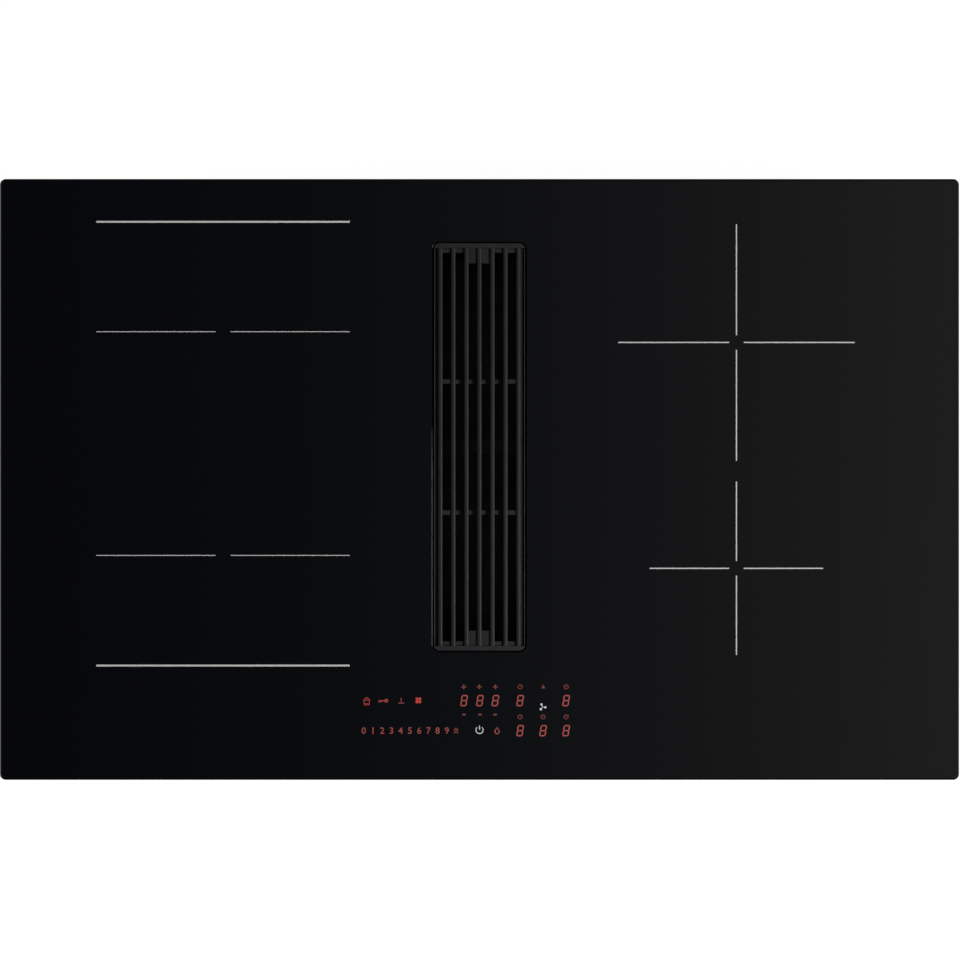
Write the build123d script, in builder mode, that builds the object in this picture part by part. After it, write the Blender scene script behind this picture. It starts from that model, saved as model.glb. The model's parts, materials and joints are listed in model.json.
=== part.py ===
from build123d import *
import math
import os

os.makedirs("parts", exist_ok=True)

# Downdraft induction cooktop: a black glass hob set in a worktop cut-out, with an extraction slot in its
# middle and a blower hung below. Millimetres. X runs along the hob to the right, Y to the rear, Z up.
# The origin is the middle of the glass, on the worktop's upper face.

# ---------------------------------------------------------------- driving dimensions

# Worktop's edge under the glass, round the cut-out, and the foam seal on it
worktop_lap = 15.0
seal_thickness = 2.0
seal_inset = 2.0
seal_lap = 3.0

# Glass top
glass_length = 830.0
glass_depth = 520.0
glass_thickness = 4.0
glass_corner = 5.0
bevel_width = 1.6
bevel_height = 1.0
overall_height = 210.0

# Extraction slot in the glass
slot_width = 82.0
slot_rear_margin = 54.4
slot_front_margin = 110.6
slot_corner = 6.0
slot_chamfer = 0.5

# Steel frame bonded under the glass, and the casing riveted into it
frame_gap = 5.0
frame_flange = 12.0
frame_skirt = 18.0
frame_corner = 8.0
sheet = 1.0
bead_thickness = 0.8
bead_width = 8.0
casing_gap = 0.25
casing_depth = 54.0

# Cooking zones: a pair of rectangular coils on the left, two round ones on the right
left_zone_x = -222.1
left_zone_rear_margin = 41.6
left_zone_front_margin = 103.6
left_coil_gap = 10.8
left_coil_length = 205.0
left_coil_corner = 48.0
right_zone_x = 222.3
right_zone_rear_margin = 39.5
right_zone_front_margin = 108.1
right_coil_gap = 18.4
front_coil_radius = 75.0
winding_width = 42.0
winding_thickness = 5.0
mica_thickness = 0.5
ferrite_width = 14.0
ferrite_thickness = 5.0
ferrites_per_coil = 8
shield_thickness = 2.0
shield_margin = 4.0
sensor_radius = 6.0
pad_radius = 7.0
pad_height = 9.0
pad_inset = 28.0
tray_width = 240.0
tray_margin = 8.0
tray_sheet = 1.5
post_size = 14.0

# Intake throat that hangs below the slot
throat_setback = 0.5
throat_wall = 2.0
throat_flange = 12.0
throat_flange_thickness = 2.5
throat_seal_thickness = 1.0
throat_seal_width = 6.0
throat_foot = 8.0
window_count = 4
window_bridge = 13.0
window_low_margin = 4.0
window_height = 40.0

# Lift-out stack in the throat: drip tray, filter, grille
stack_side_gap = 2.0
stack_end_gap = 2.5
stack_corner = 5.0
drip_tray_height = 30.0
drip_tray_wall = 1.5
filter_height = 99.0
filter_wall = 1.2
filter_mesh_thickness = 0.8
filter_mesh_clearance = 0.3
filter_handle_width = 12.0
filter_handle_drop = 16.0
filter_handle_height = 10.0
grille_side_gap = 1.5
grille_end_gap = 1.25
grille_corner = 5.0
grille_height = 18.0
grille_drop = 0.3
bar_count = 7
bar_pitch = 11.28
bar_width = 4.0
end_strip = 4.2
end_ledge = 3.8
end_ledge_drop = 3.5
lug_length = 13.0
lug_drop = 2.0
rib_offset = 56.8
rib_width = 4.2
rib_drop = 9.0
rib_raised_drop = 2.5

# Air box under the casing
box_wall = 2.5
box_flange = 10.0
box_lid = 3.0
box_corner = 5.0
box_left_room = 64.0
box_front_room = 24.0
box_rear_room = 11.0
box_bay_room = 16.0
collar_wall = 3.0
collar_height = 10.0
box_screw_radius = 2.0
box_screw_head = 3.5

# Blower
impeller_radius = 90.0
impeller_height = 78.0
impeller_eye = 74.0
impeller_plate = 2.5
blade_count = 40
blade_thickness = 1.2
blade_curve = 12.0
blade_sweep = 5.0
scroll_clearance = 10.0
scroll_growth = 12.0
scroll_wall = 2.0
scroll_height = 96.0
scroll_outlet = 110.0
scroll_throat_gap = 8.5
blower_y = -10.0
main_box_rear = 132.5
inlet_radius = 68.0
inlet_lip = 6.0
inlet_gap = 2.0
inlet_round = 1.8
motor_radius = 40.0
motor_height = 58.0
motor_foot_thickness = 3.0
motor_foot_radius = 46.0
shaft_radius = 4.0
shaft_length = 12.0
hub_gap = 4.0
hub_wall = 2.5
running_clearance = 0.05

# Outlet adapter to a flat duct
duct_width = 222.0
duct_height = 89.0
duct_wall = 2.0
duct_neck = 55.0
duct_spigot = 35.0
adapter_flange = 8.0
adapter_flange_thickness = 3.0

# Electronics
board_length = 170.0
board_depth = 150.0
board_thickness = 1.6
board_y = 62.0
standoff_height = 8.0
standoff_radius = 3.5
standoff_inset = 8.0
sink_length = 50.0
sink_depth = 110.0
sink_height = 18.0
sink_fins = 8
sink_fin_thickness = 1.4
sink_base = 3.0
capacitor_radius = 8.0
capacitor_height = 16.0
capacitor_count = 4
fan_size = 80.0
fan_height = 25.0
fan_bore = 38.0
fan_wall_gap = 2.75
fan_y = -30.0
fan_hub_radius = 16.0
fan_blades = 7
fan_pin_radius = 1.5
fan_hole_radius = 2.1
fan_hole_pitch = 71.5
fan_plate = 3.0
fan_play = 1.0
fan_blade_chord = 9.6
fan_blade_angle = 35.0
fan_slot_count = 5
fan_slot_length = 50.0
vent_count = 6
vent_pitch = 28.0
vent_length = 21.0
vent_height = 3.5

# Touch controls behind the glass, at the front
touch_x = -12.0
touch_margin = 59.0
touch_length = 215.0
touch_depth = 58.0
holder_thickness = 2.0
touch_board_thickness = 1.6
display_height = 8.0
display_gap = 0.4

# Mains terminal box under the casing
terminal_x = -205.0
terminal_inset = 13.75
terminal_length = 90.0
terminal_depth = 75.0
terminal_height = 30.0
terminal_wall = 2.0
terminal_block_length = 60.0
terminal_block_depth = 25.0
terminal_block_height = 15.0
terminal_block_setback = 15.0
terminal_hinge_radius = 2.5
terminal_hinge_play = 0.2
terminal_pin_radius = 1.2
terminal_ear = 3.0
gland_radius = 11.0
gland_bore = 7.0
gland_length = 20.0

# Swivel clamps that pull the hob down on the worktop
clamp_inset_x = 20.0
clamp_inset_y = 38.75
clamp_reach = 55.0
clamp_width = 16.0
clamp_thickness = 3.0
clamp_gap = 0.2
pivot_radius = 3.0
pivot_head = 6.0
press_screw_radius = 2.5
press_screw_length = 45.0
press_screw_head = 5.0
press_screw_head_height = 3.0

# Casing screws, through the frame's skirt
casing_screw_radius = 1.5
casing_screw_head = 3.0
casing_screw_head_height = 2.0
casing_screw_length = 6.0
casing_screw_drop = 9.0
casing_screw_pitch = 200.0

# ---------------------------------------------------------------- levels and derived sizes

cutout_length = glass_length - 2 * worktop_lap
cutout_depth = glass_depth - 2 * worktop_lap
glass_under = seal_thickness
glass_top = glass_under + glass_thickness
base_level = glass_top - overall_height

frame_top = glass_under - bead_thickness
frame_under = frame_top - sheet
frame_length = cutout_length - 2 * frame_gap
frame_depth = cutout_depth - 2 * frame_gap

casing_length = frame_length - 2 * (sheet + casing_gap)
casing_width = frame_depth - 2 * (sheet + casing_gap)
casing_corner = frame_corner - sheet - casing_gap
casing_top = frame_under
casing_under = casing_top - casing_depth
casing_floor = casing_under + sheet

slot_length = glass_depth - slot_front_margin - slot_rear_margin
slot_y = (slot_front_margin - slot_rear_margin) / 2
throat_width = slot_width + 2 * throat_setback
throat_length = slot_length + 2 * throat_setback
throat_corner = slot_corner + throat_setback
throat_outer_width = throat_width + 2 * throat_wall
throat_outer_length = throat_length + 2 * throat_wall
throat_outer_corner = throat_corner + throat_wall
throat_top = glass_under - throat_seal_thickness
throat_front = slot_y - throat_outer_length / 2
throat_rear = slot_y + throat_outer_length / 2
window_length = throat_length / window_count - window_bridge

stack_width = slot_width - 2 * stack_side_gap
stack_length = slot_length - 2 * stack_end_gap
grille_width = slot_width - 2 * grille_side_gap
grille_length = slot_length - 2 * grille_end_gap

grille_top = glass_top - grille_drop
grille_under = grille_top - grille_height
filter_top = grille_under
filter_under = filter_top - filter_height
drip_tray_top = filter_under
throat_floor = drip_tray_top - drip_tray_height
throat_under = throat_floor - throat_flange_thickness

left_zone_depth = glass_depth - left_zone_front_margin - left_zone_rear_margin
left_zone_y = (left_zone_front_margin - left_zone_rear_margin) / 2
left_coil_depth = (left_zone_depth - left_coil_gap) / 2
left_coil_offset = (left_coil_depth + left_coil_gap) / 2
right_zone_depth = glass_depth - right_zone_front_margin - right_zone_rear_margin
rear_coil_radius = (right_zone_depth - right_coil_gap) / 2 - front_coil_radius
rear_coil_y = glass_depth / 2 - right_zone_rear_margin - rear_coil_radius
front_coil_y = -glass_depth / 2 + right_zone_front_margin + front_coil_radius

mica_top = glass_under
winding_top = mica_top - mica_thickness
winding_under = winding_top - winding_thickness
ferrite_under = winding_under - ferrite_thickness
shield_under = ferrite_under - shield_thickness
tray_top = shield_under - pad_height
tray_under = tray_top - tray_sheet

lid_top = casing_under
lid_under = lid_top - box_lid
tub_floor = base_level + box_wall
scroll_under = tub_floor
scroll_top = scroll_under + scroll_height
scroll_floor = scroll_under + scroll_wall
scroll_ceiling = scroll_top - scroll_wall

# The scroll's wall is three quarter turns, each larger than the last by the growth, round the corners of
# a small square, so that they meet in line.
scroll_r1 = impeller_radius + scroll_clearance
scroll_r2 = scroll_r1 + scroll_growth
scroll_r3 = scroll_r2 + scroll_growth
half_growth = scroll_growth / 2
blower_x = throat_outer_width / 2 + scroll_throat_gap + scroll_wall + scroll_r1 + half_growth
scroll_right = blower_x + half_growth + scroll_r3
outlet_x = scroll_right - scroll_outlet / 2
outlet_z = (scroll_floor + scroll_ceiling) / 2
outlet_height = scroll_ceiling - scroll_floor

box_left = -(throat_outer_width / 2 + box_left_room)
box_front = throat_front - box_front_room
box_bay_right = throat_outer_width / 2 + box_bay_room
box_bay_rear = throat_rear + box_rear_room
box_right = scroll_right + adapter_flange + box_corner
box_main_rear = main_box_rear

fan_x = casing_length / 2 - sheet - fan_wall_gap - fan_size / 2
board_x = (throat_outer_width / 2 + throat_foot + fan_x - fan_size / 2) / 2
standoff_top = casing_floor + standoff_height
board_top = standoff_top + board_thickness

touch_y = -glass_depth / 2 + touch_margin
display_top = glass_under - display_gap
touch_board_top = display_top - display_height
touch_board_under = touch_board_top - touch_board_thickness
holder_under = touch_board_under - holder_thickness

terminal_top = casing_under
terminal_under = terminal_top - terminal_height
terminal_y = casing_width / 2 - terminal_inset - terminal_depth / 2
terminal_front = terminal_y - terminal_depth / 2
terminal_rear = terminal_y + terminal_depth / 2
terminal_left = terminal_x - terminal_length / 2

clamp_x = casing_length / 2 - clamp_inset_x
clamp_y = casing_width / 2 - clamp_inset_y
clamp_top = casing_under - clamp_gap
clamp_under = clamp_top - clamp_thickness


# ---------------------------------------------------------------- helpers


def plate(length, width, corner, low, high, centre=(0.0, 0.0), mode=Mode.ADD):
    """A flat slab with rounded corners between two levels, added to the part being built."""
    with BuildSketch(Plane.XY.offset(low)) as outline:
        with Locations(centre):
            RectangleRounded(length, width, corner)
    extrude(outline.sketch, amount=high - low, mode=mode)


def disc(radius, low, high, centre=(0.0, 0.0), mode=Mode.ADD):
    """An upright cylinder between two levels, added to the part being built."""
    with BuildSketch(Plane.XY.offset(low)) as outline:
        with Locations(centre):
            Circle(radius)
    extrude(outline.sketch, amount=high - low, mode=mode)


def block(length, width, low, high, centre=(0.0, 0.0), mode=Mode.ADD):
    """A square-cornered block between two levels, added to the part being built."""
    with BuildSketch(Plane.XY.offset(low)) as outline:
        with Locations(centre):
            Rectangle(length, width)
    extrude(outline.sketch, amount=high - low, mode=mode)


def rod(radius, start, length, direction, mode=Mode.ADD):
    """A cylinder from a point along a direction, added to the part being built."""
    with BuildSketch(Plane(origin=start, z_dir=direction)) as outline:
        Circle(radius)
    extrude(outline.sketch, amount=length, mode=mode)


def save(piece, name):
    """Labels a finished piece and writes it to its own file."""
    piece.part.label = name
    export_step(piece.part, f"parts/{name}.step")


# ---------------------------------------------------------------- shared positions

casing_screw_x = [casing_screw_pitch * k for k in (-1.5, -0.5, 0.5, 1.5)]

left_coils = [
    (left_zone_x, left_zone_y - left_coil_offset),
    (left_zone_x, left_zone_y + left_coil_offset),
]
right_coils = [
    (right_zone_x, front_coil_y, front_coil_radius),
    (right_zone_x, rear_coil_y, rear_coil_radius),
]

left_tray_low = left_coils[0][1] - left_coil_depth / 2 - shield_margin - tray_margin
left_tray_high = left_coils[1][1] + left_coil_depth / 2 + shield_margin + tray_margin
right_tray_low = front_coil_y - front_coil_radius - shield_margin - tray_margin
right_tray_high = rear_coil_y + rear_coil_radius + shield_margin + tray_margin

clamps = {
    "front_left": (-1, -1),
    "front_right": (1, -1),
    "rear_left": (-1, 1),
    "rear_right": (1, 1),
}


def box_screw_places():
    """Screw places round the air box, in the middle of its flange."""
    step = box_wall + box_flange / 2
    left = box_left - step
    right = box_right + step
    front = box_front - step
    bay_right = box_bay_right + step
    bay_rear = box_bay_rear + step
    main_rear = box_main_rear + step
    main_middle = (bay_right + right) / 2
    inset = box_corner
    return [
        (left + inset, front),
        ((left + right) / 2, front),
        (right - inset, front),
        (left, (front + bay_rear) / 2),
        (right, (front + main_rear) / 2),
        (left + inset, bay_rear),
        (bay_right - inset, bay_rear),
        (main_middle, main_rear),
        (right - inset, main_rear),
    ]


def box_outline(margin, low, high, mode=Mode.ADD):
    """The air box's L-shaped outline, grown by a margin and raised between two levels."""
    corner = box_corner + margin
    bay_middle = ((box_left + box_bay_right) / 2, (box_front + box_bay_rear) / 2)
    main_middle = ((box_left + box_right) / 2, (box_front + box_main_rear) / 2)
    with BuildSketch(Plane.XY.offset(low)) as outline:
        with Locations(bay_middle):
            RectangleRounded(
                box_bay_right - box_left + 2 * margin, box_bay_rear - box_front + 2 * margin, corner
            )
        with Locations(main_middle):
            RectangleRounded(
                box_right - box_left + 2 * margin, box_main_rear - box_front + 2 * margin, corner
            )
    extrude(outline.sketch, amount=high - low, mode=mode)


def coil_posts(zone_x, low, high):
    """Middles of a coil tray's four posts."""
    half = tray_width / 2 - post_size / 2 - sheet
    inset = post_size / 2 + sheet
    return [
        (zone_x - half, low + inset),
        (zone_x + half, low + inset),
        (zone_x - half, high - inset),
        (zone_x + half, high - inset),
    ]


# ---------------------------------------------------------------- glass top

with BuildPart() as glass_plate:
    plate(glass_length, glass_depth, glass_corner, glass_under, glass_top)
    top_face = glass_plate.faces().sort_by(Axis.Z)[-1]
    chamfer(top_face.edges(), bevel_width, bevel_height, reference=top_face)
    plate(slot_width, slot_length, slot_corner, glass_under, glass_top, (0, slot_y), Mode.SUBTRACT)
    slot_edges = (
        glass_plate.faces()
        .sort_by(Axis.Z)[-1]
        .inner_wires()[0]
        .edges()
    )
    chamfer(slot_edges, slot_chamfer)
save(glass_plate, "glass_plate")

with BuildPart() as worktop_seal:
    plate(
        glass_length - 2 * seal_inset,
        glass_depth - 2 * seal_inset,
        glass_corner,
        0,
        seal_thickness,
    )
    plate(
        cutout_length + 2 * seal_lap,
        cutout_depth + 2 * seal_lap,
        glass_corner,
        0,
        seal_thickness,
        mode=Mode.SUBTRACT,
    )
save(worktop_seal, "worktop_seal")

with BuildPart() as glass_frame:
    plate(frame_length, frame_depth, frame_corner, frame_under - frame_skirt, frame_top)
    plate(
        frame_length - 2 * sheet,
        frame_depth - 2 * sheet,
        frame_corner - sheet,
        frame_under - frame_skirt,
        frame_under,
        mode=Mode.SUBTRACT,
    )
    plate(
        frame_length - 2 * frame_flange,
        frame_depth - 2 * frame_flange,
        frame_corner,
        frame_under,
        frame_top,
        mode=Mode.SUBTRACT,
    )
    for side in (-1, 1):
        for x in casing_screw_x:
            rod(
                casing_screw_radius,
                (x, side * (frame_depth / 2 + sheet), casing_top - casing_screw_drop),
                casing_screw_length,
                (0, -side, 0),
                Mode.SUBTRACT,
            )
save(glass_frame, "glass_frame")

with BuildPart() as bonding_bead:
    bead_length = frame_length - (frame_flange - bead_width)
    bead_depth = frame_depth - (frame_flange - bead_width)
    plate(bead_length, bead_depth, frame_corner, frame_top, glass_under)
    plate(
        bead_length - 2 * bead_width,
        bead_depth - 2 * bead_width,
        frame_corner,
        frame_top,
        glass_under,
        mode=Mode.SUBTRACT,
    )
save(bonding_bead, "bonding_bead")

# ---------------------------------------------------------------- casing

with BuildPart() as hob_casing:
    plate(casing_length, casing_width, casing_corner, casing_under, casing_top)
    plate(
        casing_length - 2 * sheet,
        casing_width - 2 * sheet,
        casing_corner - sheet,
        casing_floor,
        casing_top,
        mode=Mode.SUBTRACT,
    )
    # The hole that the throat hangs through
    plate(
        throat_outer_width + 2 * throat_setback,
        throat_outer_length + 2 * throat_setback,
        throat_outer_corner + throat_setback,
        casing_under,
        casing_floor,
        (0, slot_y),
        Mode.SUBTRACT,
    )
    # Slots that let air in under each cooling fan
    for side in (-1, 1):
        slot_step = 2 * fan_bore / (fan_slot_count + 1)
        with BuildSketch(Plane.XY.offset(casing_under)) as fan_slots:
            with Locations((side * fan_x, fan_y)):
                with GridLocations(slot_step, 0, fan_slot_count, 1):
                    SlotOverall(fan_slot_length, slot_step / 2, rotation=90)
        extrude(amount=sheet, mode=Mode.SUBTRACT)
    # Slots in the front and rear walls that let the warm air out
    for side in (-1, 1):
        for zone in (-1, 1):
            vent_plane = Plane(
                origin=(zone * board_x, side * casing_width / 2, (casing_floor + tray_under) / 2),
                x_dir=(1, 0, 0),
                z_dir=(0, side, 0),
            )
            with BuildSketch(vent_plane) as wall_slots:
                with GridLocations(vent_pitch, 0, vent_count, 1):
                    SlotOverall(vent_length, vent_height)
            extrude(amount=-sheet, mode=Mode.SUBTRACT)
    for side in (-1, 1):
        for x in casing_screw_x:
            rod(
                casing_screw_radius,
                (x, side * (frame_depth / 2 + sheet), casing_top - casing_screw_drop),
                casing_screw_length,
                (0, -side, 0),
                Mode.SUBTRACT,
            )
    for place in box_screw_places():
        disc(box_screw_radius, casing_under, casing_floor, place, Mode.SUBTRACT)
    for side_x, side_y in clamps.values():
        disc(
            pivot_radius,
            casing_under,
            casing_floor,
            (side_x * clamp_x, side_y * clamp_y),
            Mode.SUBTRACT,
        )
save(hob_casing, "hob_casing")

with BuildPart() as casing_screws:
    for side in (-1, 1):
        for x in casing_screw_x:
            face_y = side * frame_depth / 2
            screw_z = casing_top - casing_screw_drop
            rod(casing_screw_radius, (x, face_y, screw_z), casing_screw_length, (0, -side, 0))
            rod(casing_screw_head, (x, face_y, screw_z), casing_screw_head_height, (0, side, 0))
save(casing_screws, "casing_screws")

# ---------------------------------------------------------------- intake throat

with BuildPart() as intake_throat:
    plate(
        throat_outer_width,
        throat_outer_length,
        throat_outer_corner,
        throat_under,
        throat_top,
        (0, slot_y),
    )
    # Upper flange against the glass, and the foot that stands on the casing's floor
    plate(
        throat_outer_width + 2 * throat_flange,
        throat_outer_length + 2 * throat_flange,
        throat_outer_corner,
        throat_top - throat_flange_thickness,
        throat_top,
        (0, slot_y),
    )
    plate(
        throat_outer_width + 2 * throat_foot,
        throat_outer_length + 2 * throat_foot,
        throat_outer_corner,
        casing_floor,
        casing_floor + throat_flange_thickness,
        (0, slot_y),
    )
    plate(
        throat_width,
        throat_length,
        throat_corner,
        throat_floor,
        throat_top,
        (0, slot_y),
        Mode.SUBTRACT,
    )
    # Windows in the long walls, beside the filter's mesh
    window_low = filter_under + window_low_margin
    window_middle = (0, slot_y, window_low + window_height / 2)
    with Locations(window_middle):
        with GridLocations(0, throat_length / window_count, 1, window_count):
            Box(2 * throat_outer_width, window_length, window_height, mode=Mode.SUBTRACT)
save(intake_throat, "intake_throat")

with BuildPart() as throat_seal:
    seal_outer_width = throat_outer_width + 2 * throat_flange - throat_wall
    seal_outer_length = throat_outer_length + 2 * throat_flange - throat_wall
    plate(
        seal_outer_width,
        seal_outer_length,
        throat_outer_corner,
        throat_top,
        glass_under,
        (0, slot_y),
    )
    plate(
        seal_outer_width - 2 * throat_seal_width,
        seal_outer_length - 2 * throat_seal_width,
        throat_outer_corner,
        throat_top,
        glass_under,
        (0, slot_y),
        Mode.SUBTRACT,
    )
save(throat_seal, "throat_seal")

# ---------------------------------------------------------------- lift-out stack

with BuildPart() as drip_tray:
    plate(stack_width, stack_length, stack_corner, throat_floor, drip_tray_top, (0, slot_y))
    plate(
        stack_width - 2 * drip_tray_wall,
        stack_length - 2 * drip_tray_wall,
        stack_corner - drip_tray_wall,
        throat_floor + drip_tray_wall,
        drip_tray_top,
        (0, slot_y),
        Mode.SUBTRACT,
    )
save(drip_tray, "drip_tray")

filter_inner_width = stack_width - 2 * filter_wall
filter_inner_length = stack_length - 2 * filter_wall
with BuildPart() as filter_frame:
    plate(stack_width, stack_length, stack_corner, filter_under, filter_top, (0, slot_y))
    plate(
        filter_inner_width,
        filter_inner_length,
        stack_corner - filter_wall,
        filter_under + filter_wall,
        filter_top,
        (0, slot_y),
        Mode.SUBTRACT,
    )
    with Locations(window_middle):
        with GridLocations(0, throat_length / window_count, 1, window_count):
            Box(2 * throat_outer_width, window_length, window_height, mode=Mode.SUBTRACT)
    # Grip across the middle, to lift the filter by
    handle_top = filter_top - filter_handle_drop
    block(
        filter_inner_width + filter_wall,
        filter_handle_width,
        handle_top - filter_handle_height,
        handle_top,
        (0, slot_y),
    )
save(filter_frame, "filter_frame")

with BuildPart() as filter_mesh:
    mesh_middle_x = (filter_inner_width - filter_mesh_thickness) / 2
    mesh_lap = window_low_margin - filter_wall - filter_mesh_clearance
    for side in (-1, 1):
        block(
            filter_mesh_thickness,
            filter_inner_length - 2 * stack_corner,
            window_low - mesh_lap,
            window_low + window_height + mesh_lap,
            (side * mesh_middle_x, slot_y),
        )
save(filter_mesh, "filter_mesh")

bar_span = (bar_count - 1) * bar_pitch
with BuildPart() as grille:
    # Rounded end strips: what is left of one rounded plate
    plate(grille_width, grille_length, grille_corner, grille_under, grille_top, (0, slot_y))
    block(
        grille_width,
        grille_length - 2 * end_strip,
        grille_under,
        grille_top,
        (0, slot_y),
        Mode.SUBTRACT,
    )
    for k in range(bar_count):
        block(
            bar_width,
            grille_length - end_strip,
            grille_under,
            grille_top,
            (-bar_span / 2 + k * bar_pitch, slot_y),
        )
    for side in (-1, 1):
        strip_inside = slot_y + side * (grille_length / 2 - end_strip)
        # Lower ledge behind each end strip
        block(
            bar_span,
            end_ledge,
            grille_under,
            grille_top - end_ledge_drop,
            (0, strip_inside - side * end_ledge / 2),
        )
        # Finger lug between the three middle bars
        block(
            2 * bar_pitch,
            lug_length,
            grille_under,
            grille_top - lug_drop,
            (0, strip_inside - side * lug_length / 2),
        )
        # Cross ribs, raised between the two outermost bars
        block(
            bar_span,
            rib_width,
            grille_under,
            grille_top - rib_drop,
            (0, slot_y + side * rib_offset),
        )
        for edge in (-1, 1):
            block(
                bar_pitch,
                rib_width,
                grille_under,
                grille_top - rib_raised_drop,
                (edge * (bar_span - bar_pitch) / 2, slot_y + side * rib_offset),
            )
save(grille, "grille")

# ---------------------------------------------------------------- cooking zones


def left_winding(centre):
    """One rounded rectangular winding of the left pair."""
    plate(left_coil_length, left_coil_depth, left_coil_corner, winding_under, winding_top, centre)
    plate(
        left_coil_length - 2 * winding_width,
        left_coil_depth - 2 * winding_width,
        left_coil_corner - winding_width,
        winding_under,
        winding_top,
        centre,
        Mode.SUBTRACT,
    )


def round_winding(centre, radius):
    """One round winding of the right-hand zones."""
    disc(radius, winding_under, winding_top, centre)
    disc(radius - winding_width, winding_under, winding_top, centre, Mode.SUBTRACT)


def shield(centre, length, depth, corner):
    """The aluminium plate that carries a coil."""
    plate(
        length + 2 * shield_margin,
        depth + 2 * shield_margin,
        corner,
        shield_under,
        ferrite_under,
        centre,
    )


with BuildPart() as left_front_coil:
    left_winding(left_coils[0])
save(left_front_coil, "left_front_coil")

with BuildPart() as left_rear_coil:
    left_winding(left_coils[1])
save(left_rear_coil, "left_rear_coil")

with BuildPart() as right_front_coil:
    round_winding(right_coils[0][:2], front_coil_radius)
save(right_front_coil, "right_front_coil")

with BuildPart() as right_rear_coil:
    round_winding(right_coils[1][:2], rear_coil_radius)
save(right_rear_coil, "right_rear_coil")

with BuildPart() as left_front_coil_shield:
    shield(left_coils[0], left_coil_length, left_coil_depth, left_coil_corner)
save(left_front_coil_shield, "left_front_coil_shield")

with BuildPart() as left_rear_coil_shield:
    shield(left_coils[1], left_coil_length, left_coil_depth, left_coil_corner)
save(left_rear_coil_shield, "left_rear_coil_shield")

with BuildPart() as right_front_coil_shield:
    disc(front_coil_radius + shield_margin, shield_under, ferrite_under, right_coils[0][:2])
save(right_front_coil_shield, "right_front_coil_shield")

with BuildPart() as right_rear_coil_shield:
    disc(rear_coil_radius + shield_margin, shield_under, ferrite_under, right_coils[1][:2])
save(right_rear_coil_shield, "right_rear_coil_shield")

with BuildPart() as ferrite_bars:
    for centre in left_coils:
        reach = left_coil_depth / 2 - winding_width / 2
        with Locations((*centre, (ferrite_under + winding_under) / 2)):
            with PolarLocations(reach, ferrites_per_coil):
                Box(winding_width, ferrite_width, ferrite_thickness)
    for x, y, radius in right_coils:
        with Locations((x, y, (ferrite_under + winding_under) / 2)):
            with PolarLocations(radius - winding_width / 2, ferrites_per_coil):
                Box(winding_width, ferrite_width, ferrite_thickness)
save(ferrite_bars, "ferrite_bars")

with BuildPart() as mica_sheets:
    for centre in left_coils:
        plate(left_coil_length, left_coil_depth, left_coil_corner, winding_top, mica_top, centre)
        disc(2 * sensor_radius, winding_top, mica_top, centre, Mode.SUBTRACT)
    for x, y, radius in right_coils:
        disc(radius, winding_top, mica_top, (x, y))
        disc(2 * sensor_radius, winding_top, mica_top, (x, y), Mode.SUBTRACT)
save(mica_sheets, "mica_sheets")

with BuildPart() as temperature_sensors:
    for centre in left_coils + [place[:2] for place in right_coils]:
        disc(sensor_radius, ferrite_under, glass_under, centre)
save(temperature_sensors, "temperature_sensors")

with BuildPart() as coil_pads:
    for centre in left_coils:
        with BuildSketch(Plane.XY.offset(tray_top)) as left_pads:
            with Locations(centre):
                with GridLocations(left_coil_length / 2, left_coil_depth / 2, 2, 2):
                    Circle(pad_radius)
        extrude(amount=pad_height)
    for x, y, radius in right_coils:
        with BuildSketch(Plane.XY.offset(tray_top)) as right_pads:
            with Locations((x, y)):
                with PolarLocations(radius - pad_inset, 4, start_angle=45):
                    Circle(pad_radius)
        extrude(amount=pad_height)
save(coil_pads, "coil_pads")


def coil_tray(zone_x, low, high):
    """A coil carrier tray with four posts down to the casing's floor."""
    plate(
        tray_width,
        high - low,
        tray_margin,
        tray_under,
        tray_top,
        (zone_x, (low + high) / 2),
    )
    for place in coil_posts(zone_x, low, high):
        block(post_size, post_size, casing_floor, tray_under, place)


with BuildPart() as left_coil_tray:
    coil_tray(left_zone_x, left_tray_low, left_tray_high)
save(left_coil_tray, "left_coil_tray")

with BuildPart() as right_coil_tray:
    coil_tray(right_zone_x, right_tray_low, right_tray_high)
save(right_coil_tray, "right_coil_tray")

# ---------------------------------------------------------------- electronics


def power_board(side):
    """The circuit board of one side."""
    plate(board_length, board_depth, 2 * sheet, standoff_top, board_top, (side * board_x, board_y))


with BuildPart() as left_power_board:
    power_board(-1)
save(left_power_board, "left_power_board")

with BuildPart() as right_power_board:
    power_board(1)
save(right_power_board, "right_power_board")

with BuildPart() as board_standoffs:
    for side in (-1, 1):
        with BuildSketch(Plane.XY.offset(casing_floor)) as standoff_circles:
            with Locations((side * board_x, board_y)):
                with GridLocations(
                    board_length - 2 * standoff_inset, board_depth - 2 * standoff_inset, 2, 2
                ):
                    Circle(standoff_radius)
        extrude(amount=standoff_height)
save(board_standoffs, "board_standoffs")

with BuildPart() as heatsinks:
    for side in (-1, 1):
        sink_x = side * (board_x + sink_length / 2)
        block(sink_length, sink_depth, board_top, board_top + sink_base, (sink_x, board_y))
        fin_pitch = (sink_length - sink_fin_thickness) / (sink_fins - 1)
        for k in range(sink_fins):
            fin_x = sink_x - (sink_length - sink_fin_thickness) / 2 + k * fin_pitch
            block(sink_fin_thickness, sink_depth, board_top, board_top + sink_height, (fin_x, board_y))
save(heatsinks, "heatsinks")

with BuildPart() as capacitors:
    for side in (-1, 1):
        with BuildSketch(Plane.XY.offset(board_top)) as capacitor_circles:
            with Locations((side * (board_x - board_length / 4), board_y)):
                with GridLocations(0, 3 * capacitor_radius, 1, capacitor_count):
                    Circle(capacitor_radius)
        extrude(amount=capacitor_height)
save(capacitors, "capacitors")

fan_top = casing_floor + fan_height


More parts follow.
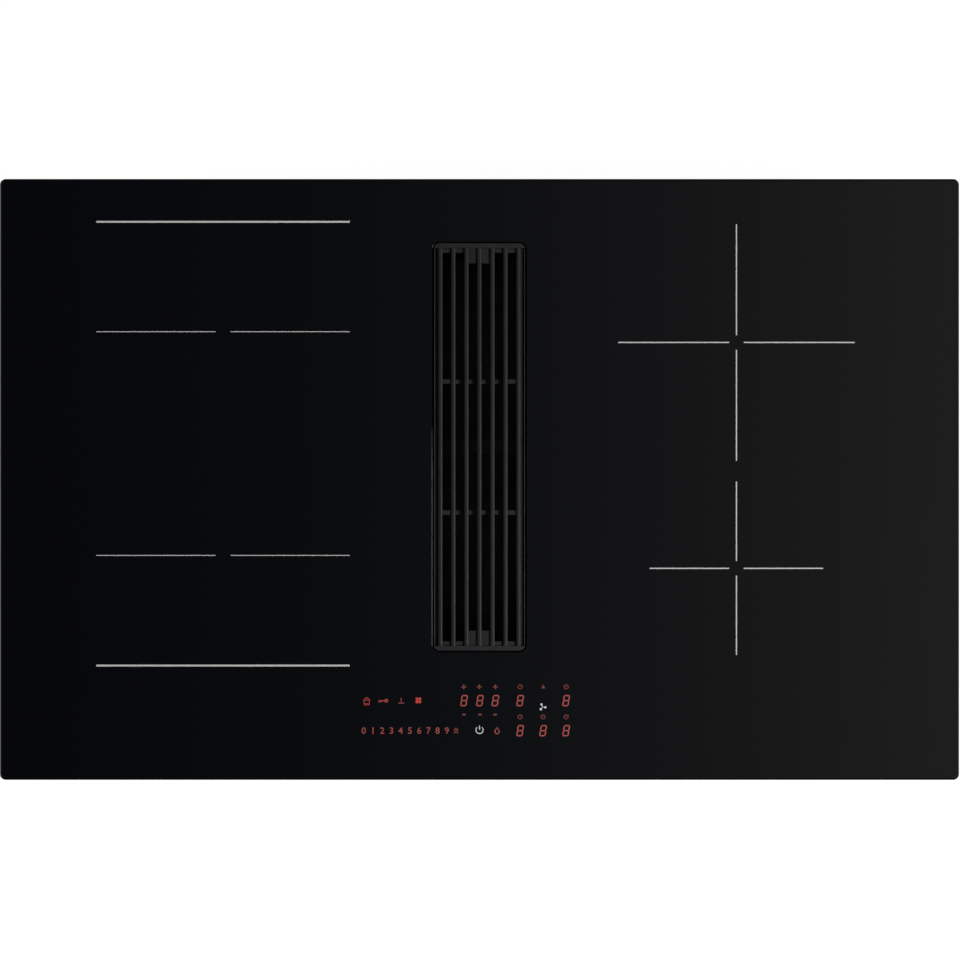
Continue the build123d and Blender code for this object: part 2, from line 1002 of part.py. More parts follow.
def fan_frame(x):
    """A square fan frame with a hub on four arms at its top and a pin that the rotor turns on."""
    block(fan_size, fan_size, casing_floor, fan_top, (x, fan_y))
    disc(fan_bore, casing_floor, fan_top, (x, fan_y), Mode.SUBTRACT)
    hole_reach = fan_hole_pitch / 2
    for side_x in (-1, 1):
        for side_y in (-1, 1):
            place = (x + side_x * hole_reach, fan_y + side_y * hole_reach)
            disc(fan_hole_radius, casing_floor, fan_top, place, Mode.SUBTRACT)
    disc(fan_hub_radius, fan_top - fan_plate, fan_top, (x, fan_y))
    arm = 2 * fan_bore + fan_plate
    block(arm, fan_plate, fan_top - fan_plate, fan_top, (x, fan_y))
    block(fan_plate, arm, fan_top - fan_plate, fan_top, (x, fan_y))
    disc(fan_pin_radius, casing_floor + fan_plate, fan_top, (x, fan_y))


def fan_rotor(x):
    """The rotor of a cooling fan: a hub with pitched blades, bored for the pin."""
    rotor_low = casing_floor + fan_play
    rotor_high = fan_top - fan_plate - fan_play
    disc(fan_hub_radius, rotor_low, rotor_high, (x, fan_y))
    blade_reach = fan_bore - 2 * fan_play
    blade_middle = (fan_hub_radius + blade_reach) / 2
    blade_span = blade_reach - fan_hub_radius + fan_play
    with Locations((x, fan_y, (rotor_low + rotor_high) / 2)):
        with PolarLocations(blade_middle - fan_play / 2, fan_blades):
            Box(blade_span, fan_blade_chord, fan_play, rotation=(fan_blade_angle, 0, 0))
    bore = fan_pin_radius + running_clearance
    disc(bore, rotor_low, rotor_high, (x, fan_y), Mode.SUBTRACT)


with BuildPart() as left_fan_frame:
    fan_frame(-fan_x)
save(left_fan_frame, "left_fan_frame")

with BuildPart() as right_fan_frame:
    fan_frame(fan_x)
save(right_fan_frame, "right_fan_frame")

with BuildPart() as left_fan_rotor:
    fan_rotor(-fan_x)
save(left_fan_rotor, "left_fan_rotor")

with BuildPart() as right_fan_rotor:
    fan_rotor(fan_x)
save(right_fan_rotor, "right_fan_rotor")

# ---------------------------------------------------------------- touch controls

with BuildPart() as display_holder:
    plate(
        touch_length,
        touch_depth,
        2 * sheet,
        holder_under,
        touch_board_under,
        (touch_x, touch_y),
    )
    with BuildSketch(Plane.XY.offset(casing_floor)) as holder_legs:
        with Locations((touch_x, touch_y)):
            with GridLocations(touch_length - post_size, touch_depth - post_size, 2, 2):
                Rectangle(post_size, post_size)
    extrude(amount=holder_under - casing_floor)
save(display_holder, "display_holder")

with BuildPart() as touch_board:
    plate(
        touch_length - 2 * sheet,
        touch_depth - 2 * sheet,
        2 * sheet,
        touch_board_under,
        touch_board_top,
        (touch_x, touch_y),
    )
save(touch_board, "touch_board")

# Light modules under the printed symbols: the three zone readings, the timer readings and the slider
display_modules_at = {
    "zones": (12.0, 10.5, 44.0, 24.0),
    "timers": (67.0, -1.5, 60.0, 44.0),
    "slider": (-52.0, -13.0, 80.0, 10.0),
    "keys": (-50.0, 10.5, 66.0, 14.0),
}
with BuildPart() as display_modules:
    for offset_x, offset_y, length, depth in display_modules_at.values():
        block(
            length,
            depth,
            touch_board_top,
            display_top,
            (touch_x + offset_x, touch_y + offset_y),
        )
save(display_modules, "display_modules")

# ---------------------------------------------------------------- air box

with BuildPart() as air_box_lid:
    box_outline(box_wall + box_flange, lid_under, lid_top)
    # Collar round the throat
    collar_width = throat_outer_width + 2 * throat_setback
    collar_length = throat_outer_length + 2 * throat_setback
    collar_corner = throat_outer_corner + throat_setback
    plate(
        collar_width + 2 * collar_wall,
        collar_length + 2 * collar_wall,
        collar_corner + collar_wall,
        lid_under - collar_height,
        lid_under,
        (0, slot_y),
    )
    plate(
        collar_width,
        collar_length,
        collar_corner,
        lid_under - collar_height,
        lid_top,
        (0, slot_y),
        Mode.SUBTRACT,
    )
    for place in box_screw_places():
        disc(box_screw_radius, lid_under, lid_top, place, Mode.SUBTRACT)
save(air_box_lid, "air_box_lid")

with BuildPart() as air_box_tub:
    box_outline(box_wall, base_level, lid_under)
    box_outline(box_wall + box_flange, lid_under - box_lid, lid_under)
    box_outline(0, tub_floor, lid_under, Mode.SUBTRACT)
    # Mouth in the rear wall for the blower's outlet
    with Locations((outlet_x, box_main_rear + box_wall / 2, outlet_z)):
        Box(scroll_outlet, 2 * box_wall, outlet_height, mode=Mode.SUBTRACT)
    for place in box_screw_places():
        disc(box_screw_radius, lid_under - box_lid, lid_under, place, Mode.SUBTRACT)
save(air_box_tub, "air_box_tub")

with BuildPart() as air_box_screws:
    head_top = lid_under - box_lid
    for place in box_screw_places():
        disc(box_screw_head, head_top - box_lid, head_top, place)
        disc(box_screw_radius, head_top, casing_floor, place)
save(air_box_screws, "air_box_screws")

# ---------------------------------------------------------------- blower


def scroll_outline(margin, low, high, mode=Mode.ADD):
    """The scroll's spiral outline with its outlet to the rear, grown by a margin, between two levels."""
    start = (blower_x - half_growth, blower_y - half_growth + scroll_r1 + margin)
    left = (blower_x - half_growth - scroll_r1 - margin, blower_y - half_growth)
    bottom = (blower_x + half_growth, blower_y - half_growth - scroll_r2 - margin)
    right = (blower_x + half_growth + scroll_r3 + margin, blower_y + half_growth)
    tongue_x = scroll_right - scroll_outlet - margin
    with BuildSketch(Plane.XY.offset(low)) as outline:
        with BuildLine():
            RadiusArc(start, left, -(scroll_r1 + margin))
            RadiusArc(left, bottom, -(scroll_r2 + margin))
            RadiusArc(bottom, right, -(scroll_r3 + margin))
            Polyline(
                right,
                (right[0], box_main_rear),
                (tongue_x, box_main_rear),
                (tongue_x, start[1]),
                start,
            )
        make_face()
    extrude(outline.sketch, amount=high - low, mode=mode)


with BuildPart() as blower_scroll:
    scroll_outline(scroll_wall, scroll_under, scroll_ceiling)
    scroll_outline(0, scroll_floor, scroll_ceiling, Mode.SUBTRACT)
save(blower_scroll, "blower_scroll")

impeller_under = scroll_floor + motor_foot_thickness + impeller_plate
impeller_top = impeller_under + impeller_height

with BuildPart() as scroll_cover:
    # Flat cover with an inlet tube that dips towards the impeller's eye and a raised lip round its mouth
    blower_centre = (blower_x, blower_y)
    inlet_low = impeller_top + inlet_gap
    inlet_high = scroll_top + scroll_wall
    scroll_outline(scroll_wall, scroll_ceiling, scroll_top)
    disc(inlet_radius + inlet_lip, scroll_top, inlet_high, blower_centre)
    disc(inlet_radius + scroll_wall, inlet_low, scroll_ceiling, blower_centre)
    disc(inlet_radius, inlet_low, inlet_high, blower_centre, Mode.SUBTRACT)
    mouth_edge = scroll_cover.faces().sort_by(Axis.Z)[-1].inner_wires()[0].edges()
    fillet(mouth_edge, inlet_round)
save(scroll_cover, "scroll_cover")

with BuildPart() as blower_motor:
    foot_top = scroll_floor + motor_foot_thickness
    motor_top = scroll_floor + motor_height
    disc(motor_foot_radius, scroll_floor, foot_top, (blower_x, blower_y))
    disc(motor_radius, foot_top, motor_top, (blower_x, blower_y))
    disc(shaft_radius, motor_top, motor_top + shaft_length, (blower_x, blower_y))
save(blower_motor, "blower_motor")

# One blade's middle line, seen from above, curved forward between the eye and the rim
blade_root = (impeller_eye + blade_thickness, 0.0)
blade_tip_radius = impeller_radius - blade_thickness
sweep = math.radians(blade_sweep)
blade_tip = (blade_tip_radius * math.cos(sweep), blade_tip_radius * math.sin(sweep))
blade_path = RadiusArc(blade_root, blade_tip, blade_curve)

with BuildPart() as impeller:
    centre = (blower_x, blower_y)
    hub_inner = motor_radius + hub_gap
    hub_outer = hub_inner + hub_wall
    cup_under = motor_top + hub_gap
    cup_top = cup_under + hub_wall
    disc(impeller_radius, impeller_under, impeller_under + impeller_plate, centre)
    disc(hub_outer, impeller_under, cup_top, centre)
    disc(hub_inner, impeller_under, cup_under, centre, Mode.SUBTRACT)
    # Boss that runs on the motor's shaft
    disc(2 * shaft_radius, cup_under - hub_gap / 2, motor_top + shaft_length, centre)
    disc(
        shaft_radius + running_clearance,
        impeller_under,
        motor_top + shaft_length,
        centre,
        Mode.SUBTRACT,
    )
    # Top ring
    disc(impeller_radius, impeller_top - impeller_plate, impeller_top, centre)
    disc(impeller_eye, impeller_top - impeller_plate, impeller_top, centre, Mode.SUBTRACT)
    with BuildSketch(Plane.XY.offset(impeller_under)) as blades:
        with Locations(centre):
            with PolarLocations(0, blade_count):
                SlotArc(blade_path, blade_thickness)
    extrude(amount=impeller_height - impeller_plate)
save(impeller, "impeller")

with BuildPart() as outlet_adapter:
    adapter_front = box_main_rear + box_wall
    neck_start = adapter_front + adapter_flange_thickness
    neck_end = neck_start + duct_neck
    spigot_end = neck_end + duct_spigot
    rear = (0, 1, 0)
    inner_duct = (duct_width - 2 * duct_wall, duct_height - 2 * duct_wall)

    def across(y):
        """A plane square to the outlet's run, with its X along the hob."""
        return Plane(origin=(outlet_x, y, outlet_z), x_dir=(-1, 0, 0), z_dir=rear)

    with BuildSketch(across(adapter_front)):
        Rectangle(scroll_outlet + 2 * adapter_flange, outlet_height + adapter_flange / 2)
    extrude(amount=adapter_flange_thickness)
    with BuildSketch(across(neck_start)):
        Rectangle(scroll_outlet + 2 * duct_wall, outlet_height + 2 * duct_wall)
    with BuildSketch(across(neck_end)):
        Rectangle(duct_width, duct_height)
    loft()
    with BuildSketch(across(neck_end)):
        Rectangle(duct_width, duct_height)
    extrude(amount=duct_spigot)
    with BuildSketch(across(neck_start)):
        Rectangle(scroll_outlet, outlet_height)
    with BuildSketch(across(neck_end)):
        Rectangle(*inner_duct)
    loft(mode=Mode.SUBTRACT)
    with BuildSketch(across(neck_end)):
        Rectangle(*inner_duct)
    extrude(amount=duct_spigot, mode=Mode.SUBTRACT)
    with BuildSketch(across(adapter_front)):
        Rectangle(scroll_outlet, outlet_height)
    extrude(amount=adapter_flange_thickness, mode=Mode.SUBTRACT)
save(outlet_adapter, "outlet_adapter")

# ---------------------------------------------------------------- mains terminal box

# The cover turns about an upright pin at the box's front left corner, between two ears of the box
hinge_x = terminal_left + terminal_hinge_radius
hinge_y = terminal_front - terminal_hinge_play - terminal_hinge_radius
ear_depth = terminal_front - hinge_y + terminal_hinge_radius
ear_levels = (terminal_under, terminal_top - terminal_wall / 2 - terminal_ear)
barrel_low = terminal_under + terminal_ear + terminal_hinge_play
barrel_high = ear_levels[1] - terminal_hinge_play

with BuildPart() as terminal_box:
    centre = (terminal_x, terminal_y)
    block(terminal_length, terminal_depth, terminal_under, terminal_top, centre)
    # Hollow, open at the front
    block(
        terminal_length - 2 * terminal_wall,
        terminal_depth - terminal_wall,
        terminal_under + terminal_wall,
        terminal_top - terminal_wall,
        (terminal_x, terminal_y - terminal_wall / 2),
        Mode.SUBTRACT,
    )
    # Hole for the gland in the rear wall
    gland_z = (terminal_under + terminal_top) / 2
    rod(gland_radius, (terminal_x, terminal_rear, gland_z), terminal_wall, (0, -1, 0), Mode.SUBTRACT)
    # Ears and pin of the cover's hinge
    for ear_low in ear_levels:
        block(
            2 * terminal_hinge_radius,
            ear_depth,
            ear_low,
            ear_low + terminal_ear,
            (hinge_x, terminal_front - ear_depth / 2),
        )
    disc(terminal_pin_radius, terminal_under, ear_levels[1], (hinge_x, hinge_y))
save(terminal_box, "terminal_box")

with BuildPart() as terminal_block:
    block_low = terminal_under + terminal_wall
    block(
        terminal_block_length,
        terminal_block_depth,
        block_low,
        block_low + terminal_block_height,
        (terminal_x, terminal_front + terminal_block_setback + terminal_block_depth / 2),
    )
save(terminal_block, "terminal_block")

with BuildPart() as cable_gland:
    inside = terminal_rear - gland_length / 2
    rod(gland_radius, (terminal_x, inside, gland_z), gland_length, (0, 1, 0))
    rod(
        gland_radius + terminal_wall,
        (terminal_x, terminal_rear, gland_z),
        gland_length / 2,
        (0, 1, 0),
    )
    rod(gland_bore, (terminal_x, inside, gland_z), gland_length, (0, 1, 0), Mode.SUBTRACT)
save(cable_gland, "cable_gland")

with BuildPart() as terminal_cover:
    cover_rear = terminal_front - terminal_hinge_play
    cover_middle_y = cover_rear - terminal_wall / 2
    cover_left = hinge_x + 2 * terminal_hinge_radius
    cover_right = terminal_left + terminal_length
    block(
        cover_right - cover_left,
        terminal_wall,
        terminal_under,
        terminal_top - terminal_wall,
        ((cover_left + cover_right) / 2, cover_middle_y),
    )
    # Leaf and barrel between the ears
    block(
        cover_left - hinge_x,
        terminal_wall,
        barrel_low,
        barrel_high,
        ((hinge_x + cover_left) / 2, cover_middle_y),
    )
    disc(terminal_hinge_radius, barrel_low, barrel_high, (hinge_x, hinge_y))
    disc(
        terminal_pin_radius + running_clearance,
        barrel_low,
        barrel_high,
        (hinge_x, hinge_y),
        Mode.SUBTRACT,
    )
save(terminal_cover, "terminal_cover")

# ---------------------------------------------------------------- worktop clamps


def clamp_arm(side_x, side_y):
    """A flat arm that lies along the casing's end, from its pivot to the pressing screw."""
    pivot = (side_x * clamp_x, side_y * clamp_y)
    tip = (side_x * clamp_x, side_y * (clamp_y - clamp_reach))
    middle = (pivot[0], (pivot[1] + tip[1]) / 2)
    with BuildSketch(Plane.XY.offset(clamp_under)) as arm_outline:
        with Locations(middle):
            SlotCenterToCenter(clamp_reach, clamp_width, rotation=90)
    extrude(arm_outline.sketch, amount=clamp_thickness)
    disc(pivot_radius + running_clearance, clamp_under, clamp_top, pivot, Mode.SUBTRACT)
    disc(press_screw_radius, clamp_under, clamp_top, tip, Mode.SUBTRACT)


def press_screw(side_x, side_y):
    """The screw that presses up on the worktop's underside."""
    tip = (side_x * clamp_x, side_y * (clamp_y - clamp_reach))
    low = clamp_top - press_screw_length
    disc(press_screw_radius, low, clamp_top, tip)
    disc(press_screw_head, low - press_screw_head_height, low, tip)


with BuildPart() as clamp_front_left:
    clamp_arm(*clamps["front_left"])
save(clamp_front_left, "clamp_front_left")

with BuildPart() as clamp_front_right:
    clamp_arm(*clamps["front_right"])
save(clamp_front_right, "clamp_front_right")

with BuildPart() as clamp_rear_left:
    clamp_arm(*clamps["rear_left"])
save(clamp_rear_left, "clamp_rear_left")

with BuildPart() as clamp_rear_right:
    clamp_arm(*clamps["rear_right"])
save(clamp_rear_right, "clamp_rear_right")

with BuildPart() as press_screw_front_left:
    press_screw(*clamps["front_left"])
save(press_screw_front_left, "press_screw_front_left")

with BuildPart() as press_screw_front_right:
    press_screw(*clamps["front_right"])
save(press_screw_front_right, "press_screw_front_right")

with BuildPart() as press_screw_rear_left:
    press_screw(*clamps["rear_left"])
save(press_screw_rear_left, "press_screw_rear_left")

with BuildPart() as press_screw_rear_right:
    press_screw(*clamps["rear_right"])
save(press_screw_rear_right, "press_screw_rear_right")

with BuildPart() as clamp_pivots:
    for side_x, side_y in clamps.values():
        place = (side_x * clamp_x, side_y * clamp_y)
        head_top = clamp_under - clamp_gap
        disc(pivot_head, head_top - clamp_thickness, head_top, place)
        disc(pivot_radius, head_top, casing_floor, place)
        disc(pivot_head, casing_floor, casing_floor + clamp_thickness, place)
save(clamp_pivots, "clamp_pivots")
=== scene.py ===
"""Downdraft induction cooktop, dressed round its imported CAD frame.

Metres: X runs along the hob to the right, Y to the rear and Z up. The worktop's upper face is Z 0.
"""

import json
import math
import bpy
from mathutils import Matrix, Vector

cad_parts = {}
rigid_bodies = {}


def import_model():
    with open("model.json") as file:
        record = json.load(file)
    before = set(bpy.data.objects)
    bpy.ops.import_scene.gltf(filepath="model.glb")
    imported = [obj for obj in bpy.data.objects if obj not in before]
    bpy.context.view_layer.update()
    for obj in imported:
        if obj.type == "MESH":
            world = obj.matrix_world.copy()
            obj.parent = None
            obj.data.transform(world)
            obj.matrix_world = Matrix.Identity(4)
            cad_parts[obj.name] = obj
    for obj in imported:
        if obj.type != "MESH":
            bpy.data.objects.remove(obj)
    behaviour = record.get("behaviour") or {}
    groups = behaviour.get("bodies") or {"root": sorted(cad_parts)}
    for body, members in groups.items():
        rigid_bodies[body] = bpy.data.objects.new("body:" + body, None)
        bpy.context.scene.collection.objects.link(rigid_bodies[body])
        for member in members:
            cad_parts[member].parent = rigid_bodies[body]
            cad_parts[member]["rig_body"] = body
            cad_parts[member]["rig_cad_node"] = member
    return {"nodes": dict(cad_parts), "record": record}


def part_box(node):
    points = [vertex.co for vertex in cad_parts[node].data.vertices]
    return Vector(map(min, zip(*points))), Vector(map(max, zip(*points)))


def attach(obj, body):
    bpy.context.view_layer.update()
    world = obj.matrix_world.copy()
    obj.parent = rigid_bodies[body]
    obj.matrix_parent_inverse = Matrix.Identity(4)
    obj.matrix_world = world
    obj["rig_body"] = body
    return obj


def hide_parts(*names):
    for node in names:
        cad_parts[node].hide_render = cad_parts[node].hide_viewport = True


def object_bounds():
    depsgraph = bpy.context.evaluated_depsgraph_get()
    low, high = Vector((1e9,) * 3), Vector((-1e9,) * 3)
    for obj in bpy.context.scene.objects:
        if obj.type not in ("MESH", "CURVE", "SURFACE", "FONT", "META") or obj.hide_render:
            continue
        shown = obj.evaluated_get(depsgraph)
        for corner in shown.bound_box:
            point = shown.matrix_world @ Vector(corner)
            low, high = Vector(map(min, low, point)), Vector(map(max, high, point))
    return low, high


bl_info = {
    "name": "Downdraft Induction Cooktop",
    "version": (1, 0, 0),
    "blender": (4, 5, 0),
    "location": "3D View > Sidebar > Cooktop",
    "description": "Dresses a black glass hob with its extractor, prints and lit signs",
    "category": "Object",
}

import bpy
from mathutils import Matrix, Vector

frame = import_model()
cad_low, cad_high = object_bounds()
nodes = frame["nodes"]
body_of_node = {}
for body_name, members in frame["record"]["behaviour"]["bodies"].items():
    for member in members:
        body_of_node[member] = body_name

glass_low, glass_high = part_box("glass_plate")
# The prints' own height is taken from the glass, so that the whole stays inside the CAD box
GLASS_TOP = glass_high.z - 0.000041
# Edges that turn by more than CORNER are rounded, and those under SMOOTH are shaded smooth
CORNER = math.radians(30)
SMOOTH = math.radians(45)


# ---------------------------------------------------------------- settings


class PrintSettings(bpy.types.PropertyGroup):
    """The zone lines printed on the glass."""

    ink: bpy.props.FloatVectorProperty(
        name="Ink", description="Colour of the zone lines", subtype="COLOR", size=3,
        default=(0.56, 0.56, 0.55),
    )
    thickness: bpy.props.FloatProperty(
        name="Ink thickness", description="Height of the print over the glass", unit="LENGTH",
        default=0.00004,
    )
    thick_line: bpy.props.FloatProperty(
        name="Thick line", description="Width of the left zone's outer lines", unit="LENGTH",
        default=0.0016,
    )
    thin_line: bpy.props.FloatProperty(
        name="Thin line", description="Width of the left zone's inner lines", unit="LENGTH",
        default=0.00066,
    )
    cross_line: bpy.props.FloatProperty(
        name="Cross line", description="Width of the right zones' crosses", unit="LENGTH",
        default=0.00102,
    )
    cross_gap: bpy.props.FloatProperty(
        name="Cross gap", description="Half of the gap at a cross's middle", unit="LENGTH",
        default=0.0063,
    )


class ControlSettings(bpy.types.PropertyGroup):
    """The lit touch controls."""

    bright_red: bpy.props.FloatVectorProperty(
        name="Bright red", description="Light of the signs of running functions", subtype="COLOR",
        size=3, default=(0.4, 0.038, 0.032),
    )
    display_red: bpy.props.FloatVectorProperty(
        name="Display red", description="Light of the seven-segment displays", subtype="COLOR",
        size=3, default=(0.33, 0.06, 0.052),
    )
    digit_red: bpy.props.FloatVectorProperty(
        name="Digit red", description="Light of the level digits", subtype="COLOR", size=3,
        default=(0.25, 0.05, 0.047),
    )
    dim_red: bpy.props.FloatVectorProperty(
        name="Dim red", description="Light of the waiting plus, minus and clock signs",
        subtype="COLOR", size=3, default=(0.17, 0.043, 0.038),
    )
    mode_red: bpy.props.FloatVectorProperty(
        name="Mode red", description="Light of the pan and lock signs", subtype="COLOR", size=3,
        default=(0.3, 0.034, 0.029),
    )
    clock_red: bpy.props.FloatVectorProperty(
        name="Clock red", description="Light of the small clocks", subtype="COLOR", size=3,
        default=(0.15, 0.025, 0.023),
    )
    white: bpy.props.FloatVectorProperty(
        name="White light", description="Light of the white signs", subtype="COLOR", size=3,
        default=(0.56, 0.57, 0.58),
    )
    digit_height: bpy.props.FloatProperty(
        name="Digit height", description="Height of the level digits", unit="LENGTH", default=0.0057
    )
    digit_pitch: bpy.props.FloatProperty(
        name="Digit pitch", description="Step from one level digit to the next", unit="LENGTH",
        default=0.00799,
    )
    eight_height: bpy.props.FloatProperty(
        name="Display height", description="Height of a seven-segment display", unit="LENGTH",
        default=0.0098,
    )
    eight_width: bpy.props.FloatProperty(
        name="Display width", description="Width of a seven-segment display, unslanted",
        unit="LENGTH", default=0.0056,
    )
    eight_stroke: bpy.props.FloatProperty(
        name="Display stroke", description="Width of a display's segment", unit="LENGTH",
        default=0.00105,
    )
    slant: bpy.props.FloatProperty(
        name="Display slant", description="Lean of the displays", unit="ROTATION",
        default=math.radians(9),
    )


class FinishSettings(bpy.types.PropertyGroup):
    """Colours of the main finishes."""

    glass: bpy.props.FloatVectorProperty(
        name="Glass", description="Body colour of the black glass", subtype="COLOR", size=3,
        default=(0.0011, 0.0011, 0.0013),
    )
    grille: bpy.props.FloatVectorProperty(
        name="Grille", description="Colour of the coated grille", subtype="COLOR", size=3,
        default=(0.0068, 0.0068, 0.007),
    )
    sheet_steel: bpy.props.FloatVectorProperty(
        name="Sheet steel", description="Colour of the galvanised sheet", subtype="COLOR", size=3,
        default=(0.5, 0.51, 0.52),
    )
    housing: bpy.props.FloatVectorProperty(
        name="Housing", description="Colour of the air box and duct", subtype="COLOR", size=3,
        default=(0.085, 0.086, 0.09),
    )
    soft_edge: bpy.props.FloatProperty(
        name="Soft edge", description="Rounding of moulded and folded edges", unit="LENGTH",
        default=0.0005,
    )


class StageSettings(bpy.types.PropertyGroup):
    """Camera, lamps and studio."""

    camera_height: bpy.props.FloatProperty(
        name="Camera height", description="Height of the camera over the glass", unit="LENGTH",
        default=1.9606,
    )
    lens: bpy.props.FloatProperty(
        name="Lens", description="Focal length", unit="CAMERA", default=85.0
    )
    side_lamp: bpy.props.FloatProperty(
        name="Side lamp", description="Power of the lamp at the upper right", unit="POWER",
        default=70.0,
    )
    fill_lamp: bpy.props.FloatProperty(
        name="Fill lamp", description="Power of the soft lamp at the front left", unit="POWER",
        default=22.0,
    )
    horizon: bpy.props.FloatProperty(
        name="Horizon", description="Brightness of the studio near the floor", default=0.85
    )
    wall: bpy.props.FloatProperty(
        name="Wall", description="Brightness of the studio's upper walls", default=0.06
    )


# ---------------------------------------------------------------- small tools


def clear_selection():
    """Leaves edit mode and deselects everything."""
    if bpy.context.object and bpy.context.object.mode != "OBJECT":
        bpy.ops.object.mode_set(mode="OBJECT")
    bpy.ops.object.select_all(action="DESELECT")


def take(*pieces):
    """Selects some pieces alone, the last of them active."""
    clear_selection()
    for piece in pieces:
        piece.select_set(True)
    bpy.context.view_layer.objects.active = pieces[-1]


def edit(piece, kind="FACE", test=None):
    """Opens a piece in edit mode, with what passes a test selected, or all of it without one."""
    take(piece)
    bpy.ops.object.mode_set(mode="EDIT")
    bpy.ops.mesh.select_mode(type=kind)
    bpy.ops.mesh.select_all(action="SELECT" if test is None else "DESELECT")
    if test is None:
        return
    bpy.ops.object.mode_set(mode="OBJECT")
    mesh = piece.data
    if kind == "FACE":
        for face in mesh.polygons:
            face.select = test(face.center, face.normal)
    elif kind == "EDGE":
        for line in mesh.edges:
            start, end = (mesh.vertices[i].co for i in line.vertices)
            line.select = test(start, end)
    else:
        for point in mesh.vertices:
            point.select = test(point.co)
    bpy.ops.object.mode_set(mode="EDIT")


def done():
    """Back to object mode."""
    bpy.ops.object.mode_set(mode="OBJECT")


def modify(piece, kind, **values):
    """Adds a modifier to a piece and applies it."""
    take(piece)
    bpy.ops.object.modifier_add(type=kind)
    modifier = piece.modifiers[-1]
    for name, value in values.items():
        setattr(modifier, name, value)
    bpy.ops.object.modifier_apply(modifier=modifier.name)


def cut(piece, cutter):
    """Takes a cutter out of a piece, and removes the cutter."""
    modify(piece, "BOOLEAN", object=cutter)
    bpy.data.objects.remove(cutter)


def settle(piece):
    """Puts a piece's place, turn and size into its mesh."""
    take(piece)
    bpy.ops.object.transform_apply(location=True, rotation=True, scale=True)


def joined(pieces, name):
    """Joins pieces into one, with its object at the origin."""
    take(*pieces)
    if len(pieces) > 1:
        bpy.ops.object.join()
    piece = bpy.context.object
    piece.name = name
    settle(piece)
    return piece


def copied(piece, place=(0, 0, 0), turn=0.0):
    """A copy of a piece with its own mesh, turned about Z and moved."""
    take(piece)
    bpy.ops.object.duplicate()
    twin = bpy.context.object
    twin.rotation_euler.z = turn
    twin.location = place
    return twin


def block(low, high, edge=0.0, segments=2):
    """A box from corner to corner, every edge rounded if an edge is given."""
    low, high = Vector(low), Vector(high)
    bpy.ops.mesh.primitive_cube_add(size=1, location=(low + high) / 2, scale=high - low)
    piece = bpy.context.object
    settle(piece)
    if edge:
        edit(piece)
        bpy.ops.mesh.bevel(offset=edge, segments=segments, affect="EDGES")
        done()
    return piece


def shade(piece, angle=SMOOTH):
    """Smooth shading over soft edges, with the large faces kept flat."""
    take(piece)
    bpy.ops.object.shade_smooth_by_angle(angle=angle)
    modify(piece, "WEIGHTED_NORMAL", keep_sharp=True)


def upright(start, end):
    """True for an edge whose ends differ in height."""
    return abs(start.z - end.z) > 1e-6


def rounded_block(low, high, corner, segments=8):
    """A box with its four upright edges rounded."""
    piece = block(low, high)
    edit(piece, "EDGE", upright)
    bpy.ops.mesh.bevel(offset=corner, segments=segments, affect="EDGES")
    done()
    return piece


def wire(points, closed=False):
    """A curve of straight runs through points in space, not yet a mesh."""
    clear_selection()
    bpy.ops.curve.primitive_nurbs_path_add()
    line = bpy.context.object
    line.data.splines.clear()
    spline = line.data.splines.new("POLY")
    spline.points.add(len(points) - 1)
    for knot, place in zip(spline.points, points):
        knot.co = (*place, 1)
    spline.use_cyclic_u = closed
    return line


def wound(points, diameter, closed=False, fineness=2):
    """A round wire along points."""
    line = wire(points, closed)
    line.data.bevel_depth = diameter / 2
    line.data.bevel_resolution = fineness
    line.data.use_fill_caps = True
    take(line)
    bpy.ops.object.convert(target="MESH")
    return bpy.context.object


def turned(profile, place=(0, 0, 0), turn=(0, 0, 0), steps=32):
    """A piece turned on a lathe from pairs of radius and height, then put in its place."""
    merge = 0.000005
    line = wire([(radius, 0, height) for radius, height in profile])
    take(line)
    bpy.ops.object.convert(target="MESH")
    piece = bpy.context.object
    modify(
        piece, "SCREW", angle=2 * math.pi, steps=steps, render_steps=steps, use_merge_vertices=True,
        merge_threshold=merge,
    )
    edit(piece)
    bpy.ops.mesh.remove_doubles(threshold=merge)
    bpy.ops.mesh.normals_make_consistent(inside=False)
    done()
    piece.rotation_euler = turn
    piece.location = place
    settle(piece)
    return piece


def copies(piece, places):
    """Copies of a piece at some places, the piece itself removed."""
    twins = [copied(piece, place) for place in places]
    bpy.data.objects.remove(piece)
    return twins


def slot_of(node):
    """The record slot of a CAD node."""
    return nodes[node].data.materials[0].name


def dress(piece, coating, body, stands_for=()):
    """Gives a piece its finish and its body, and hides the CAD nodes that it stands for."""
    piece.data.materials.clear()
    piece.data.materials.append(coating)
    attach(piece, body)
    if stands_for:
        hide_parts(*stands_for)
    return piece


def softened(node, edge, segments=2):
    """A copy of a CAD node with welded faces and rounded edges, which stands for the node."""
    take(nodes[node])
    bpy.ops.object.duplicate()
    piece = bpy.context.object
    piece.name = f"{node}_softened"
    slot = slot_of(node)
    del piece["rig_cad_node"]
    del piece["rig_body"]
    piece.parent = None
    piece.matrix_world = Matrix.Identity(4)
    edit(piece)
    bpy.ops.mesh.remove_doubles(threshold=0.000002)
    bpy.ops.mesh.customdata_custom_splitnormals_clear()
    done()
    modify(
        piece, "BEVEL", width=edge, segments=segments, limit_method="ANGLE", angle_limit=CORNER,
        use_clamp_overlap=False,
    )
    shade(piece)
    return dress(piece, finish(slot), body_of_node[node], [node])


# ---------------------------------------------------------------- finishes


